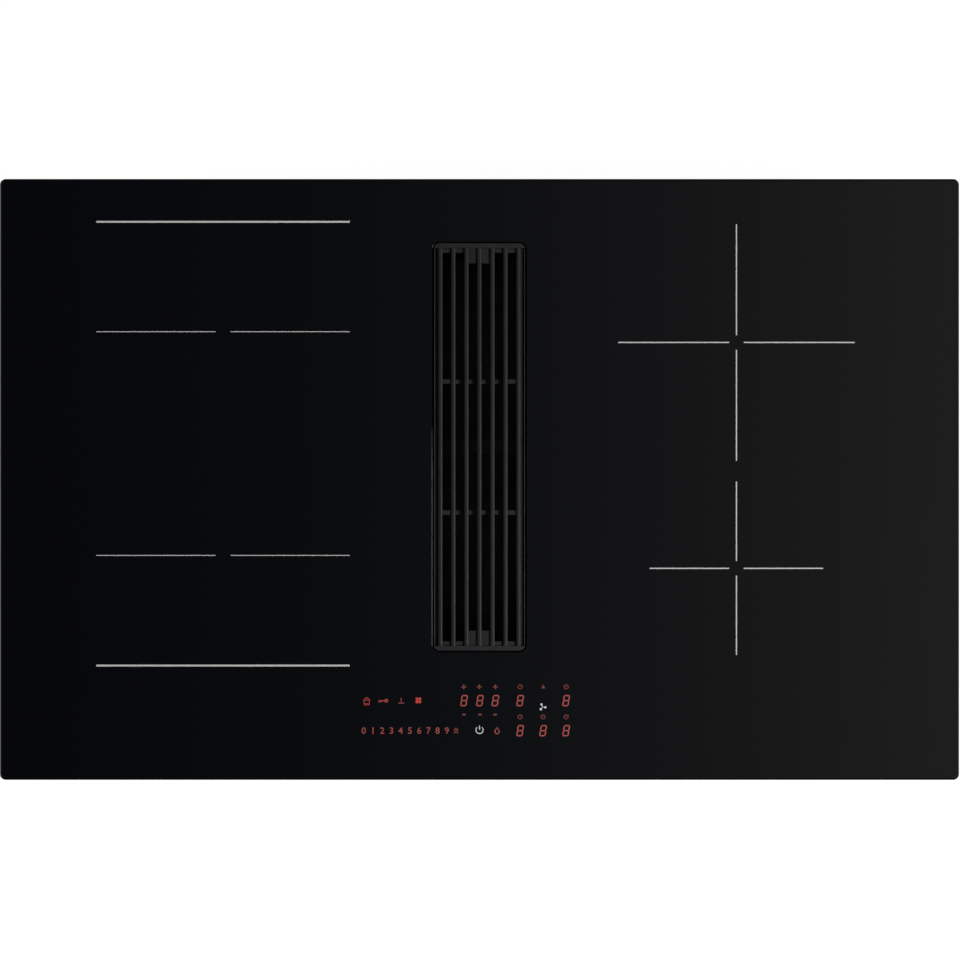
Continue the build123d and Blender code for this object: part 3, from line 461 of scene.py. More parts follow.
def add_node(tree, kind, sockets=None, **values):
    """A shader node with its settings, each socket set to a value or linked to another node."""
    node = tree.nodes.new(kind)
    for name, value in values.items():
        setattr(node, name, value)
    for name, value in (sockets or {}).items():
        if isinstance(value, bpy.types.NodeSocket):
            tree.links.new(value, node.inputs[name])
        else:
            node.inputs[name].default_value = value
    return node


class Finish:
    """A procedural material whose patterns are laid by the object's own place, in metres."""

    def __init__(self, name, colour, roughness, metallic=0.0, stretch=(1, 1, 1)):
        self.material = bpy.data.materials.new(name)
        self.material.use_nodes = True
        self.tree = self.material.node_tree
        self.shader = self.tree.nodes["Principled BSDF"]
        self.colour = colour
        self.set("Base Color", (*colour, 1))
        self.set("Roughness", roughness)
        self.set("Metallic", metallic)
        place = self.add("ShaderNodeTexCoord").outputs["Object"]
        mapping = self.add("ShaderNodeMapping", {"Vector": place, "Scale": stretch})
        self.place = mapping.outputs["Vector"]

    def add(self, kind, sockets=None, **values):
        """A node in this material."""
        return add_node(self.tree, kind, sockets, **values)

    def set(self, socket, value):
        """Sets a socket of the shader."""
        self.shader.inputs[socket].default_value = value

    def drive(self, socket, source):
        """Links a pattern to a socket of the shader."""
        self.tree.links.new(source, self.shader.inputs[socket])

    def noise(self, scale, detail=3.0, distortion=0.0):
        """Cloudy noise, with its scale as spots in a metre."""
        sockets = {"Scale": scale, "Detail": detail, "Distortion": distortion}
        return self.add("ShaderNodeTexNoise", {**sockets, "Vector": self.place}).outputs["Fac"]

    def cells(self, scale, feature="F1", randomness=1.0):
        """Cells like crystals, as a distance and a colour for each."""
        sockets = {"Scale": scale, "Randomness": randomness, "Vector": self.place}
        return self.add("ShaderNodeTexVoronoi", sockets, feature=feature).outputs

    def crystals(self, scale):
        """Two numbers that differ from crystal to crystal."""
        split = self.add("ShaderNodeSeparateColor", {"Color": self.cells(scale)["Color"]})
        return split.outputs["Red"], split.outputs["Green"]

    def mapped(self, value, low=0, high=1, start=0.3, end=0.7):
        """A value spread from one range to another."""
        ranges = {"From Min": start, "From Max": end, "To Min": low, "To Max": high}
        return self.add("ShaderNodeMapRange", {**ranges, "Value": value}).outputs["Result"]

    def blend(self, socket, value, dark, light):
        """Gives a socket of the shader a colour between two, as a pattern says."""
        sockets = {"A": (*dark, 1), "B": (*light, 1), "Factor": value}
        mix = self.add("ShaderNodeMix", sockets, data_type="RGBA")
        self.drive(socket, mix.outputs["Result"])

    def shade(self, value, spread, tint=None):
        """Lets the colour wander round its own value, or towards a tint."""
        dark = tint or tuple(c * (1 - spread) for c in self.colour)
        light = tuple(min(1.0, c * (1 + spread)) for c in self.colour)
        self.blend("Base Color", value, dark, light)

    def clouds(self, scale, spread):
        """Lets the colour wander in soft clouds."""
        self.shade(self.mapped(self.noise(scale)), spread)

    def gloss(self, value, low, high):
        """Lets the roughness wander between two values."""
        self.drive("Roughness", self.mapped(value, low, high))

    def relief(self, value, depth):
        """A relief from a pattern, its depth in metres."""
        bump = self.add("ShaderNodeBump", {"Distance": depth, "Strength": 1.0, "Height": value})
        self.drive("Normal", bump.outputs["Normal"])

    def grain(self, scale, depth, detail=3.0):
        """A fine grain all over the surface."""
        self.relief(self.noise(scale, detail), depth)


def moulded(name, colour, roughness, grain=900.0, depth=0.00004):
    """Moulded plastic or rubber with a fine spark-eroded grain."""
    made = Finish(name, colour, roughness)
    made.clouds(14.0, 0.07)
    made.gloss(made.noise(55.0, 4.0), roughness - 0.06, roughness + 0.08)
    made.grain(grain, depth, 2.0)
    return made.material


def aluminium():
    """Rolled aluminium sheet, with its lines along X."""
    made = Finish("aluminium_finish", (0.72, 0.73, 0.74), 0.38, 1.0, (0.1, 3, 3))
    lines = made.noise(260.0, 5.0)
    made.shade(made.mapped(lines), 0.1)
    made.gloss(lines, 0.3, 0.5)
    made.relief(lines, 0.000003)
    return made.material


def black_glass(settings):
    """Polished black glass-ceramic, with the faintest wipe marks in its gloss."""
    made = Finish("black_glass_finish", tuple(settings.glass), 0.03)
    made.clouds(3.0, 0.06)
    made.gloss(made.noise(7.0, 4.0, 0.6), 0.015, 0.05)
    made.set("IOR", 1.5)
    return made.material


def grille_coat(settings):
    """Matt black powder coat on cast aluminium."""
    made = Finish("grille_coat", tuple(settings.grille), 0.43)
    made.clouds(30.0, 0.1)
    made.gloss(made.noise(90.0, 4.0), 0.38, 0.48)
    made.set("Specular IOR Level", 0.31)
    made.grain(1400.0, 0.00002, 2.0)
    return made.material


def galvanised(settings):
    """Hot-dip galvanised sheet with its flat crystals."""
    made = Finish("galvanised_finish", tuple(settings.sheet_steel), 0.42, 1.0)
    tone, polish = made.crystals(190.0)
    made.shade(tone, 0.06)
    made.gloss(polish, 0.38, 0.47)
    made.grain(40.0, 0.00003)
    return made.material


def plated():
    """Clear zinc plating on small steel parts."""
    made = Finish("zinc_plate", (0.56, 0.56, 0.53), 0.34, 1.0)
    made.clouds(120.0, 0.09)
    made.gloss(made.noise(420.0, 3.0), 0.26, 0.42)
    made.grain(900.0, 0.000012, 2.0)
    return made.material


def foam():
    """Closed-cell foam tape."""
    made = Finish("foam_tape", (0.028, 0.028, 0.028), 0.9)
    bubbles = made.cells(1500.0)["Distance"]
    made.shade(made.mapped(bubbles, 0, 1, 0.0, 0.6), 0.3)
    made.relief(bubbles, 0.00015)
    return made.material


def litz():
    """Enamelled copper litz wire, its strands laid at a slant."""
    made = Finish("litz_wire", (0.62, 0.24, 0.11), 0.36, 1.0)
    sockets = {"Scale": 420.0, "Distortion": 1.2, "Vector": made.place}
    wave = made.add("ShaderNodeTexWave", sockets, wave_type="BANDS", bands_direction="DIAGONAL")
    strands = wave.outputs["Fac"]
    made.shade(strands, 0.3, (0.3, 0.1, 0.05))
    made.relief(strands, 0.00012)
    return made.material


def ferrite():
    """Sintered ferrite, dull and finely pitted."""
    made = Finish("ferrite_finish", (0.035, 0.035, 0.038), 0.62)
    made.clouds(300.0, 0.25)
    made.grain(1600.0, 0.00005)
    return made.material


def mica():
    """Pressed mica sheet, cream with silvery flakes."""
    made = Finish("mica_sheet", (0.55, 0.48, 0.34), 0.4)
    tone, polish = made.crystals(260.0)
    made.shade(tone, 0.25)
    made.gloss(polish, 0.25, 0.55)
    return made.material


def ceramic():
    """Glazed white ceramic of the temperature sensors."""
    made = Finish("sensor_ceramic_finish", (0.78, 0.77, 0.73), 0.3)
    made.clouds(200.0, 0.05)
    made.grain(700.0, 0.00002)
    return made.material


def solder_resist():
    """Green solder resist over copper tracks."""
    made = Finish("solder_resist", (0.012, 0.12, 0.045), 0.34)
    edges = made.cells(120.0, "DISTANCE_TO_EDGE", 0.0)["Distance"]
    tracks = made.mapped(edges, 0, 1, 0.06, 0.1)
    made.shade(tracks, 0.12, (0.03, 0.2, 0.07))
    made.relief(tracks, 0.00003)
    return made.material


def light_guide():
    """Dark red plastic of the display modules."""
    made = Finish("light_guide", (0.16, 0.008, 0.008), 0.22)
    made.clouds(180.0, 0.2)
    made.grain(600.0, 0.00001)
    return made.material


def black_paint():
    """Painted steel of the motor."""
    made = Finish("motor_paint", (0.05, 0.05, 0.053), 0.38)
    made.clouds(70.0, 0.12)
    made.grain(800.0, 0.00003)
    return made.material


def lamp_ink(name, colour):
    """A sign lit from behind through the print, a little uneven as a small lamp makes it."""
    made = Finish(name, tuple(c * 0.05 for c in colour), 0.3)
    dark = tuple(c * 0.86 for c in colour)
    light = tuple(min(1.0, c * 1.1) for c in colour)
    made.blend("Emission Color", made.mapped(made.noise(220.0)), dark, light)
    made.set("Emission Strength", 1.0)
    return made.material


def zone_ink(colour):
    """Ceramic ink fired on the glass."""
    made = Finish("zone_ink", colour, 0.45)
    made.clouds(160.0, 0.04)
    made.grain(1500.0, 0.000008)
    return made.material


FINISHES = {}


def finish(slot):
    """The finish of a record slot, made once."""
    if slot in FINISHES:
        return FINISHES[slot]
    settings = bpy.context.scene.cooktop_finishes
    makers = {
        "black_glass": lambda: black_glass(settings),
        "grille_black": lambda: grille_coat(settings),
        "galvanised_steel": lambda: galvanised(settings),
        "plated_steel": plated,
        "seal_foam": foam,
        "silicone": lambda: moulded("silicone_finish", (0.045, 0.045, 0.045), 0.6),
        "black_plastic": lambda: moulded("black_plastic_finish", (0.016, 0.016, 0.017), 0.46),
        "grey_plastic": lambda: moulded("grey_plastic_finish", tuple(settings.housing), 0.5),
        # Near-black filter coat: partly the filter's own black coating, partly painted shade, kept
        # this dark so that the filter reads as the shade down the slot between the grille bars
        "filter_steel": lambda: moulded(
            "filter_coat_and_painted_shade", (0.014, 0.014, 0.0145), 0.5, 1400.0, 0.00002
        ),
        "copper_wire": litz,
        "aluminium_sheet": aluminium,
        "ferrite": ferrite,
        "mica": mica,
        "sensor_ceramic": ceramic,
        "circuit_board": solder_resist,
        "display_red": light_guide,
        "motor_steel": black_paint,
    }
    FINISHES[slot] = makers[slot]()
    return FINISHES[slot]


def coat_all(names):
    """Gives CAD nodes that stay in view the finish of their slot."""
    for node in names:
        mesh = nodes[node].data
        coating = finish(slot_of(node))
        mesh.materials.clear()
        mesh.materials.append(coating)


def soften_all(names, edge, segments=2):
    """Softens CAD nodes in the finish of their slot."""
    for node in names:
        softened(node, edge, segments)


def dress_in(slot, piece, stands_for=(), body="hob"):
    """Shades a piece, and dresses it in the finish of a record slot."""
    shade(piece)
    dress(piece, finish(slot), body, stands_for)


# ---------------------------------------------------------------- prints and signs


def printed_bar(x, y, length, width, thickness):
    """One printed line on the glass, its corners a little round."""
    bpy.ops.mesh.primitive_cube_add(
        size=1, location=(x, y, GLASS_TOP + thickness / 2), scale=(length, width, thickness)
    )
    bar = bpy.context.object
    settle(bar)
    edit(bar, "EDGE", upright)
    bpy.ops.mesh.bevel(offset=min(length, width) * 0.3, segments=2, affect="EDGES")
    done()
    return bar


def inked_line(points, width, thickness, closed=False):
    """A drawn stroke on the glass: a round cord along points, pressed flat."""
    stroke = wound([(x, y, 0) for x, y in points], width, closed, 1)
    stroke.scale.z = thickness / width
    stroke.location.z = GLASS_TOP + thickness / 2
    settle(stroke)
    return stroke


def inked_shape(outlines, thickness):
    """A filled sign on the glass, with a hole for each outline that lies in another."""
    clear_selection()
    bpy.ops.curve.primitive_bezier_circle_add()
    shape = bpy.context.object
    curve = shape.data
    curve.splines.clear()
    curve.dimensions = "2D"
    curve.fill_mode = "BOTH"
    curve.extrude = thickness / 2
    for outline in outlines:
        spline = curve.splines.new("POLY")
        spline.points.add(len(outline) - 1)
        for knot, (x, y) in zip(spline.points, outline):
            knot.co = (x, y, 0, 1)
        spline.use_cyclic_u = True
    bpy.ops.object.convert(target="MESH")
    shape = bpy.context.object
    shape.location.z = GLASS_TOP + thickness / 2
    settle(shape)
    return shape


def ring(radius, count=28, centre=(0, 0), start=0.0, sweep=2 * math.pi):
    """Points on a circle or an arc of it."""
    full = abs(sweep - 2 * math.pi) < 1e-6
    steps = count if full else count - 1
    return [
        (
            centre[0] + radius * math.cos(start + sweep * k / steps),
            centre[1] + radius * math.sin(start + sweep * k / steps),
        )
        for k in range(count)
    ]


def moved(points, x, y):
    """Points shifted."""
    return [(px + x, py + y) for px, py in points]


class COOKTOP_OT_glass_top(bpy.types.Operator):
    """Black glass top, bonded frame, seals and bead"""

    bl_idname = "cooktop.glass_top"
    bl_label = "Glass top"

    bevel_reach = 0.0016
    bevel_drop = 0.001
    corner = 0.005
    slot_gap = Vector((0.0015, 0.00125, 0))
    slot_edge = 0.00015
    crease = math.radians(28)

    def execute(self, context):
        slot_low, slot_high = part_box("grille")
        gap = self.slot_gap
        shoulder = (glass_high.x, glass_high.y, GLASS_TOP - self.bevel_drop)
        plate = rounded_block(glass_low, shoulder, self.corner)
        edit(plate, "FACE", lambda centre, normal: normal.z > 0.9)
        bpy.ops.mesh.inset(thickness=self.bevel_reach, depth=self.bevel_drop)
        done()
        below = Vector((0, 0, 0.01))
        slot = rounded_block(slot_low - gap - below, slot_high + gap + below, self.corner + gap.x)
        cut(plate, slot)
        reach = slot_high.x + gap.x + 0.001

        def at_slot(start, end):
            return start.z == end.z and start.z > 0.005 and max(abs(start.x), abs(end.x)) < reach

        edit(plate, "EDGE", at_slot)
        bpy.ops.mesh.bevel(offset=self.slot_edge, segments=2, affect="EDGES")
        done()
        shade(plate, self.crease)
        plate.name = "black_glass_top"
        dress(plate, finish("black_glass"), "hob", ["glass_plate"])
        coat_all(["worktop_seal", "bonding_bead", "throat_seal"])
        return {"FINISHED"}


class COOKTOP_OT_zone_lines(bpy.types.Operator):
    """Printed lines that mark the four cooking zones"""

    bl_idname = "cooktop.zone_lines"
    bl_label = "Zone lines"

    def execute(self, context):
        prints = context.scene.cooktop_prints
        ink = zone_ink(tuple(prints.ink))
        thickness = prints.thickness
        left_x, left_length, left_gap = -0.2218, 0.2193, 0.013
        outer_rows, inner_rows = (0.22285, -0.16098), (0.1278, -0.0657)
        bars = [
            printed_bar(left_x, y, left_length, prints.thick_line, thickness)
            for y in outer_rows
        ]
        half = (left_length - left_gap) / 2
        for y in inner_rows:
            for side in (-1, 1):
                x = left_x + side * (left_gap + half) / 2
                bars.append(printed_bar(x, y, half, prints.thin_line, thickness))
        dress(joined(bars, "left_zone_lines"), ink, "hob")
        for name, x, y, arm in (
            ("right_rear_zone_cross", 0.2223, 0.1185, 0.1023),
            ("right_front_zone_cross", 0.2223, -0.0769, 0.0751),
        ):
            reach = arm - prints.cross_gap
            middle = (arm + prints.cross_gap) / 2
            bars = []
            for side in (-1, 1):
                bars.append(printed_bar(x + side * middle, y, reach, prints.cross_line, thickness))
                bars.append(printed_bar(x, y + side * middle, prints.cross_line, reach, thickness))
            dress(joined(bars, name), ink, "hob")
        return {"FINISHED"}


class COOKTOP_OT_touch_controls(bpy.types.Operator):
    """Lit level digits, seven-segment displays and signs at the front"""

    bl_idname = "cooktop.touch_controls"
    bl_label = "Touch controls"

    def execute(self, context):
        look = context.scene.cooktop_controls
        thin = context.scene.cooktop_prints.thickness
        bright = lamp_ink("bright_red_light", tuple(look.bright_red))
        dim = lamp_ink("dim_red_light", tuple(look.dim_red))
        digit = lamp_ink("digit_red_light", tuple(look.digit_red))
        self.digits(look, thin, digit)
        self.displays(look, thin, lamp_ink("display_red_light", tuple(look.display_red)))
        self.level_signs(thin, dim, lamp_ink("clock_red_light", tuple(look.clock_red)))
        self.mode_signs(thin, bright, lamp_ink("mode_red_light", tuple(look.mode_red)), digit)
        self.white_signs(thin, lamp_ink("white_light", tuple(look.white)))
        return {"FINISHED"}

    def digits(self, look, thin, red):
        """The row from 0 to 9, then a double chevron for boost."""
        first_x, row_y, text_depth = -0.1001, -0.2172, 0.02
        made = []
        for k in range(10):
            clear_selection()
            bpy.ops.object.text_add()
            text = bpy.context.object
            text.data.body = str(k)
            text.data.align_x = "CENTER"
            text.data.resolution_u = 4
            text.data.extrude = text_depth / 2
            text.data.offset = 0.012
            bpy.ops.object.convert(target="MESH")
            digit = bpy.context.object
            low = min(point.co.y for point in digit.data.vertices)
            high = max(point.co.y for point in digit.data.vertices)
            scale = look.digit_height / (high - low)
            digit.scale = (scale, scale, thin / text_depth)
            digit.location = (
                first_x + k * look.digit_pitch,
                row_y - (low + high) / 2 * scale,
                GLASS_TOP + thin / 2,
            )
            settle(digit)
            made.append(digit)
        dress(joined(made, "level_digits"), red, "hob")
        self.drawn("boost_chevrons", red, thin, (-0.0203, row_y), [
            ([(-0.0017, lift - 0.0012), (0, lift + 0.0008), (0.0017, lift - 0.0012)], 0.0009)
            for lift in (-0.0012, 0.0013)
        ])

    def drawn(self, name, light, thin, place, strokes):
        """A sign at its place, from strokes: points, a width and perhaps True for a closed one."""
        made = [
            inked_line(moved(points, *place), width, thin, *closed)
            for points, width, *closed in strokes
        ]
        dress(joined(made, name), light, "hob")

    def displays(self, look, thin, red):
        """Eight slanted eights: three levels, four zones and the fan."""
        stroke = look.eight_stroke
        half_w = (look.eight_width - stroke) / 2
        half_h = (look.eight_height - stroke) / 2
        lean = math.tan(look.slant)
        gap = stroke * 0.08
        ends = [
            ((-half_w, half_h), (half_w, half_h)),
            ((-half_w, 0), (half_w, 0)),
            ((-half_w, -half_h), (half_w, -half_h)),
            ((-half_w, 0), (-half_w, half_h)),
            ((half_w, 0), (half_w, half_h)),
            ((-half_w, -half_h), (-half_w, 0)),
            ((half_w, -half_h), (half_w, 0)),
        ]
        segments = []
        for start, end in ends:
            along = Vector((end[0] - start[0], end[1] - start[1]))
            reach = along.length
            along.normalize()
            across = Vector((-along.y, along.x))
            tip, shoulder = gap, gap + stroke / 2
            outline = [
                (tip, 0), (shoulder, -stroke / 2), (reach - shoulder, -stroke / 2),
                (reach - tip, 0), (reach - shoulder, stroke / 2), (shoulder, stroke / 2),
            ]
            corners = []
            for a, b in outline:
                spot = Vector(start) + along * a + across * b
                corners.append((spot.x + spot.y * lean, spot.y))
            segments.append(inked_shape([corners], thin))
        eight = joined(segments, "eight")
        places = {
            "power_display_left": (-0.0133, -0.1913),
            "power_display_middle": (0.0004, -0.1913),
            "power_display_right": (0.0138, -0.1913),
            "zone_display_rear_left": (0.0352, -0.1913),
            "zone_display_rear_right": (0.075, -0.1913),
            "zone_display_front_left": (0.0352, -0.2173),
            "fan_display": (0.0551, -0.2173),
            "zone_display_front_right": (0.075, -0.2173),
        }
        for name, (x, y) in places.items():
            twin = copied(eight, (x, y, 0))
            settle(twin)
            twin.name = name
            dress(twin, red, "hob")
        bpy.data.objects.remove(eight)

    def level_signs(self, thin, dim, faint):
        """Plus and minus signs, clocks and an arrow, all dim."""
        made = []
        plus_row, arm, width = -0.1794, 0.0042, 0.0009
        for x in (-0.0136, -0.0001, 0.0138):
            made.append(printed_bar(x, plus_row, arm, width, thin))
            made.append(printed_bar(x, plus_row, width, arm, thin * 1.02))
        minus_row, length, width = -0.2034, 0.003, 0.0014
        for x in (-0.0134, 0.0005, 0.0135):
            made.append(printed_bar(x, minus_row, length, width, thin))
        dress(joined(made, "timer_plus_minus"), dim, "hob")
        clocks = []
        for x, y in (
            (0.0352, -0.1794), (0.075, -0.1794),
            (0.0351, -0.2054), (0.055, -0.2054), (0.0749, -0.2054),
        ):
            clocks.append(inked_line(ring(0.0018, 24, (x, y)), 0.0007, thin, True))
            hands = [(x, y + 0.001), (x, y), (x + 0.0007, y)]
            clocks.append(inked_line(hands, 0.0005, thin))
        arrow = [(-0.0019, -0.0016), (0.0019, -0.0016), (0, 0.0018)]
        clocks.append(inked_shape([moved(arrow, 0.0551, -0.1791)], thin))
        dress(joined(clocks, "timer_clocks"), faint, "hob")

    def mode_signs(self, thin, bright, middle_red, red):
        """Pan, key, keep-warm and bridge signs at the left, and the melt drop."""
        pot = [(-0.0023, 0.0008), (-0.0023, -0.0024), (0.0023, -0.0024), (0.0023, 0.0008)]
        self.drawn("pan_sign", middle_red, thin, (-0.0975, -0.1916), [
            (pot, 0.0009, True),
            ([(-0.0031, 0.0008), (0.0031, 0.0008)], 0.0008),
            ([(-0.0018, 0.0018), (0, 0.003), (0.0018, 0.0018)], 0.0008),
            ([(-0.0026, -0.0033), (0.0026, -0.0033)], 0.0006),
        ])
        self.drawn("lock_sign", middle_red, thin, (-0.0832, -0.1914), [
            (ring(0.0011, 20, (0.0026, 0)), 0.0011, True),
            ([(0.0014, 0), (-0.0041, 0)], 0.001),
            ([(-0.0036, 0), (-0.0036, -0.0014)], 0.0011),
            ([(-0.0018, 0), (-0.0018, -0.0013)], 0.0011),
        ])
        self.drawn("keep_warm_sign", red, thin, (-0.0677, -0.1911), [
            ([(-0.0024, -0.0023), (0.0024, -0.0023)], 0.0007),
            ([(0.0003, -0.001), (-0.0006, 0), (0.0005, 0.001), (-0.0003, 0.0021)], 0.0006),
        ])
        x, y = -0.0528, -0.1911
        lobes = []
        middle, radius, steps = 0.00125, 0.0013, 48
        for k in range(steps):
            turn = 2 * math.pi * k / steps
            c, d = abs(math.cos(turn)), abs(math.sin(turn))
            reach = middle * (c + d) + math.sqrt(radius**2 - middle**2 * (c - d) ** 2)
            lobes.append((x + reach * math.cos(turn), y + reach * math.sin(turn)))
        bridge = inked_shape([lobes, ring(0.0005, 12, (x, y))], thin)
        dress(joined([bridge], "bridge_sign"), bright, "hob")
        drop = [(0, 0.0027)] + ring(0.0019, 17, (0, -0.0007), math.radians(35), math.radians(-250))
        self.drawn("melt_sign", red, thin, (0.0152, -0.2173), [(drop, 0.0009, True)])

    def white_signs(self, thin, white):
        """Power sign and three-bladed fan, both white."""
        arc = ring(0.0031, 26, (0, 0), math.radians(47), math.radians(-274))
        self.drawn("power_sign", white, thin, (0.0001, -0.2167), [
            (arc, 0.0007),
            ([(0, 0.0037), (0, 0.0002)], 0.0007),
        ])
        x, y = 0.0546, -0.1968
        blades = []
        for k in range(3):
            turn = math.radians(113 + 120 * k)
            blade = []
            for step in range(20):
                angle = 2 * math.pi * step / 20
                along = 0.00205 + 0.0013 * math.cos(angle)
                across = (0.0006 + 0.0004 * math.cos(angle)) * math.sin(angle) * 1.35
                blade.append((
                    x + along * math.cos(turn) - across * math.sin(turn),
                    y + along * math.sin(turn) + across * math.cos(turn),
                ))
            blades.append(inked_shape([blade], thin))
        blades.append(inked_shape([ring(0.0005, 14, (x, y))], thin))
        dress(joined(blades, "fan_sign"), white, "hob")


# ---------------------------------------------------------------- extraction slot


class COOKTOP_OT_grille(bpy.types.Operator):
    """Lift-out grille with seven bars, its edges softened by the coat"""

    bl_idname = "cooktop.grille"
    bl_label = "Grille"

    bars = 7
    bar_width = 0.004
    bar_pitch = 0.01128
    end_strip = 0.0042
    corner = 0.005
    edge = 0.001
    lip = 0.0008
    bite = 0.0008
    rib_place = 0.0568
    rib_width = 0.0042

    def execute(self, context):
        low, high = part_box("grille")
        middle = (low.y + high.y) / 2
        span = self.bar_pitch * (self.bars - 1)
        top = high.z - 0.00003
        made = []
        plate = rounded_block(low, high, self.corner)
        hollow = block(
            (low.x - 0.01, low.y + self.end_strip, low.z - 0.01),
            (high.x + 0.01, high.y - self.end_strip, high.z + 0.01),
        )
        cut(plate, hollow)
        modify(
            plate, "BEVEL", width=self.edge * 0.7, segments=2, limit_method="ANGLE",
            angle_limit=CORNER,
        )
        made.append(plate)
        bar = block(
            (-self.bar_width / 2, low.y + self.end_strip - self.bite, low.z),
            (self.bar_width / 2, high.y - self.end_strip + self.bite, top),
            self.edge, 3,
        )
        for k in range(self.bars):
            made.append(copied(bar, (k * self.bar_pitch - span / 2, 0, 0)))
        bpy.data.objects.remove(bar)
        for side in (-1, 1):
            inside = middle + side * ((high.y - low.y) / 2 - self.end_strip)
            for half, reach, drop in (
                (span / 2, 0.0038, 0.0035),
                (self.bar_pitch, 0.013, 0.0032),
            ):
                ends = sorted((inside + side * self.bite, inside - side * reach))
                made.append(block((-half, ends[0], low.z), (half, ends[1], top - drop), 0.0004))
            for inner, outer, drop in (
                (span / 2, high.x - self.lip / 2, 0.0055),
                (high.x - self.lip, high.x, 0.0018),
            ):
                ends = sorted((side * inner, side * outer))
                made.append(block(
                    (ends[0], low.y + 0.0045, low.z),
                    (ends[1], high.y - 0.0045, top - drop), 0.00025,
                ))
            rib = middle + side * self.rib_place
            inner, outer = span / 2 - self.bar_pitch, span / 2
            for start, end, drop in (
                (-outer, outer, 0.009), (-outer, -inner, 0.0025), (inner, outer, 0.0025),
            ):
                made.append(block(
                    (start, rib - self.rib_width / 2, low.z),
                    (end, rib + self.rib_width / 2, top - drop), 0.0004,
                ))
        grille = joined(made, "coated_grille")
        dress_in("grille_black", grille, ["grille"], "grille")
        return {"FINISHED"}


class COOKTOP_OT_filter(bpy.types.Operator):
    """Lift-out filter with expanded mesh in its windows, and the drip tray under it"""

    bl_idname = "cooktop.filter"
    bl_label = "Filter and drip tray"

    def execute(self, context):
        # The filter frame, its expanded mesh and the drip tray wear near-black finishes: partly
        # their own colour, partly painted shade that darkens the slot under the grille
        soften_all(["filter_frame"], 0.0003)
        soften_all(["drip_tray"], 0.0004)
        steel = finish("filter_steel")
        low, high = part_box("filter_mesh")
        wall, strand, any_angle = 0.0008, 0.0009, 3.1
        columns, rows = 84, 12
        sheets = []
        for side in (-1, 1):
            x = side * (high.x - wall / 2)
            bpy.ops.mesh.primitive_grid_add(
                x_subdivisions=columns, y_subdivisions=rows, size=1,
                location=(x, (low.y + high.y) / 2, (low.z + high.z) / 2),
                rotation=(math.radians(90), 0, math.radians(90)),
            )
            sheet = bpy.context.object
            sheet.scale = (high.y - low.y, high.z - low.z, 1)
            settle(sheet)
            edit(sheet)
            bpy.ops.mesh.poke()
            bpy.ops.mesh.tris_convert_to_quads(face_threshold=any_angle, shape_threshold=any_angle)
            done()
            modify(sheet, "WIREFRAME", thickness=strand, use_even_offset=False, offset=0.0)
            sheets.append(sheet)
        dress(joined(sheets, "expanded_mesh"), steel, "filter", ["filter_mesh"])
        return {"FINISHED"}


class COOKTOP_OT_throat(bpy.types.Operator):
    """Intake throat that hangs from the slot into the air box"""

    bl_idname = "cooktop.throat"
    bl_label = "Intake throat"

    def execute(self, context):
        soften_all(["intake_throat"], context.scene.cooktop_finishes.soft_edge)
        return {"FINISHED"}


# ---------------------------------------------------------------- body of the hob


class COOKTOP_OT_casing(bpy.types.Operator):
    """Sheet steel casing and the frame under the glass, with their screws"""

    bl_idname = "cooktop.casing"
    bl_label = "Casing"

    bead_height = 0.002

    def execute(self, context):
        coat_all(["hob_casing", "glass_frame"])
        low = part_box("hob_casing")[0]
        left, right, half = -0.3, -0.14, 0.004
        bead = block((left, -half, low.z - self.bead_height), (right, half, low.z + 0.0004))
        edit(bead, "EDGE", upright)
        bpy.ops.mesh.bevel(offset=0.0039, segments=6, affect="EDGES")
        done()
        edit(bead, "FACE", lambda centre, normal: normal.z < -0.9)
        bpy.ops.transform.resize(value=(0.98, 0.62, 1), center_override=((left + right) / 2, 0, 0))
        done()
        rows = (-0.205, -0.135, -0.065, 0.005, 0.075)
        beads = joined(copies(bead, [(0, y, 0) for y in rows]), "casing_beads")
        dress_in("galvanised_steel", beads)
        soften_all(["casing_screws", "air_box_screws"], 0.0003)
        return {"FINISHED"}


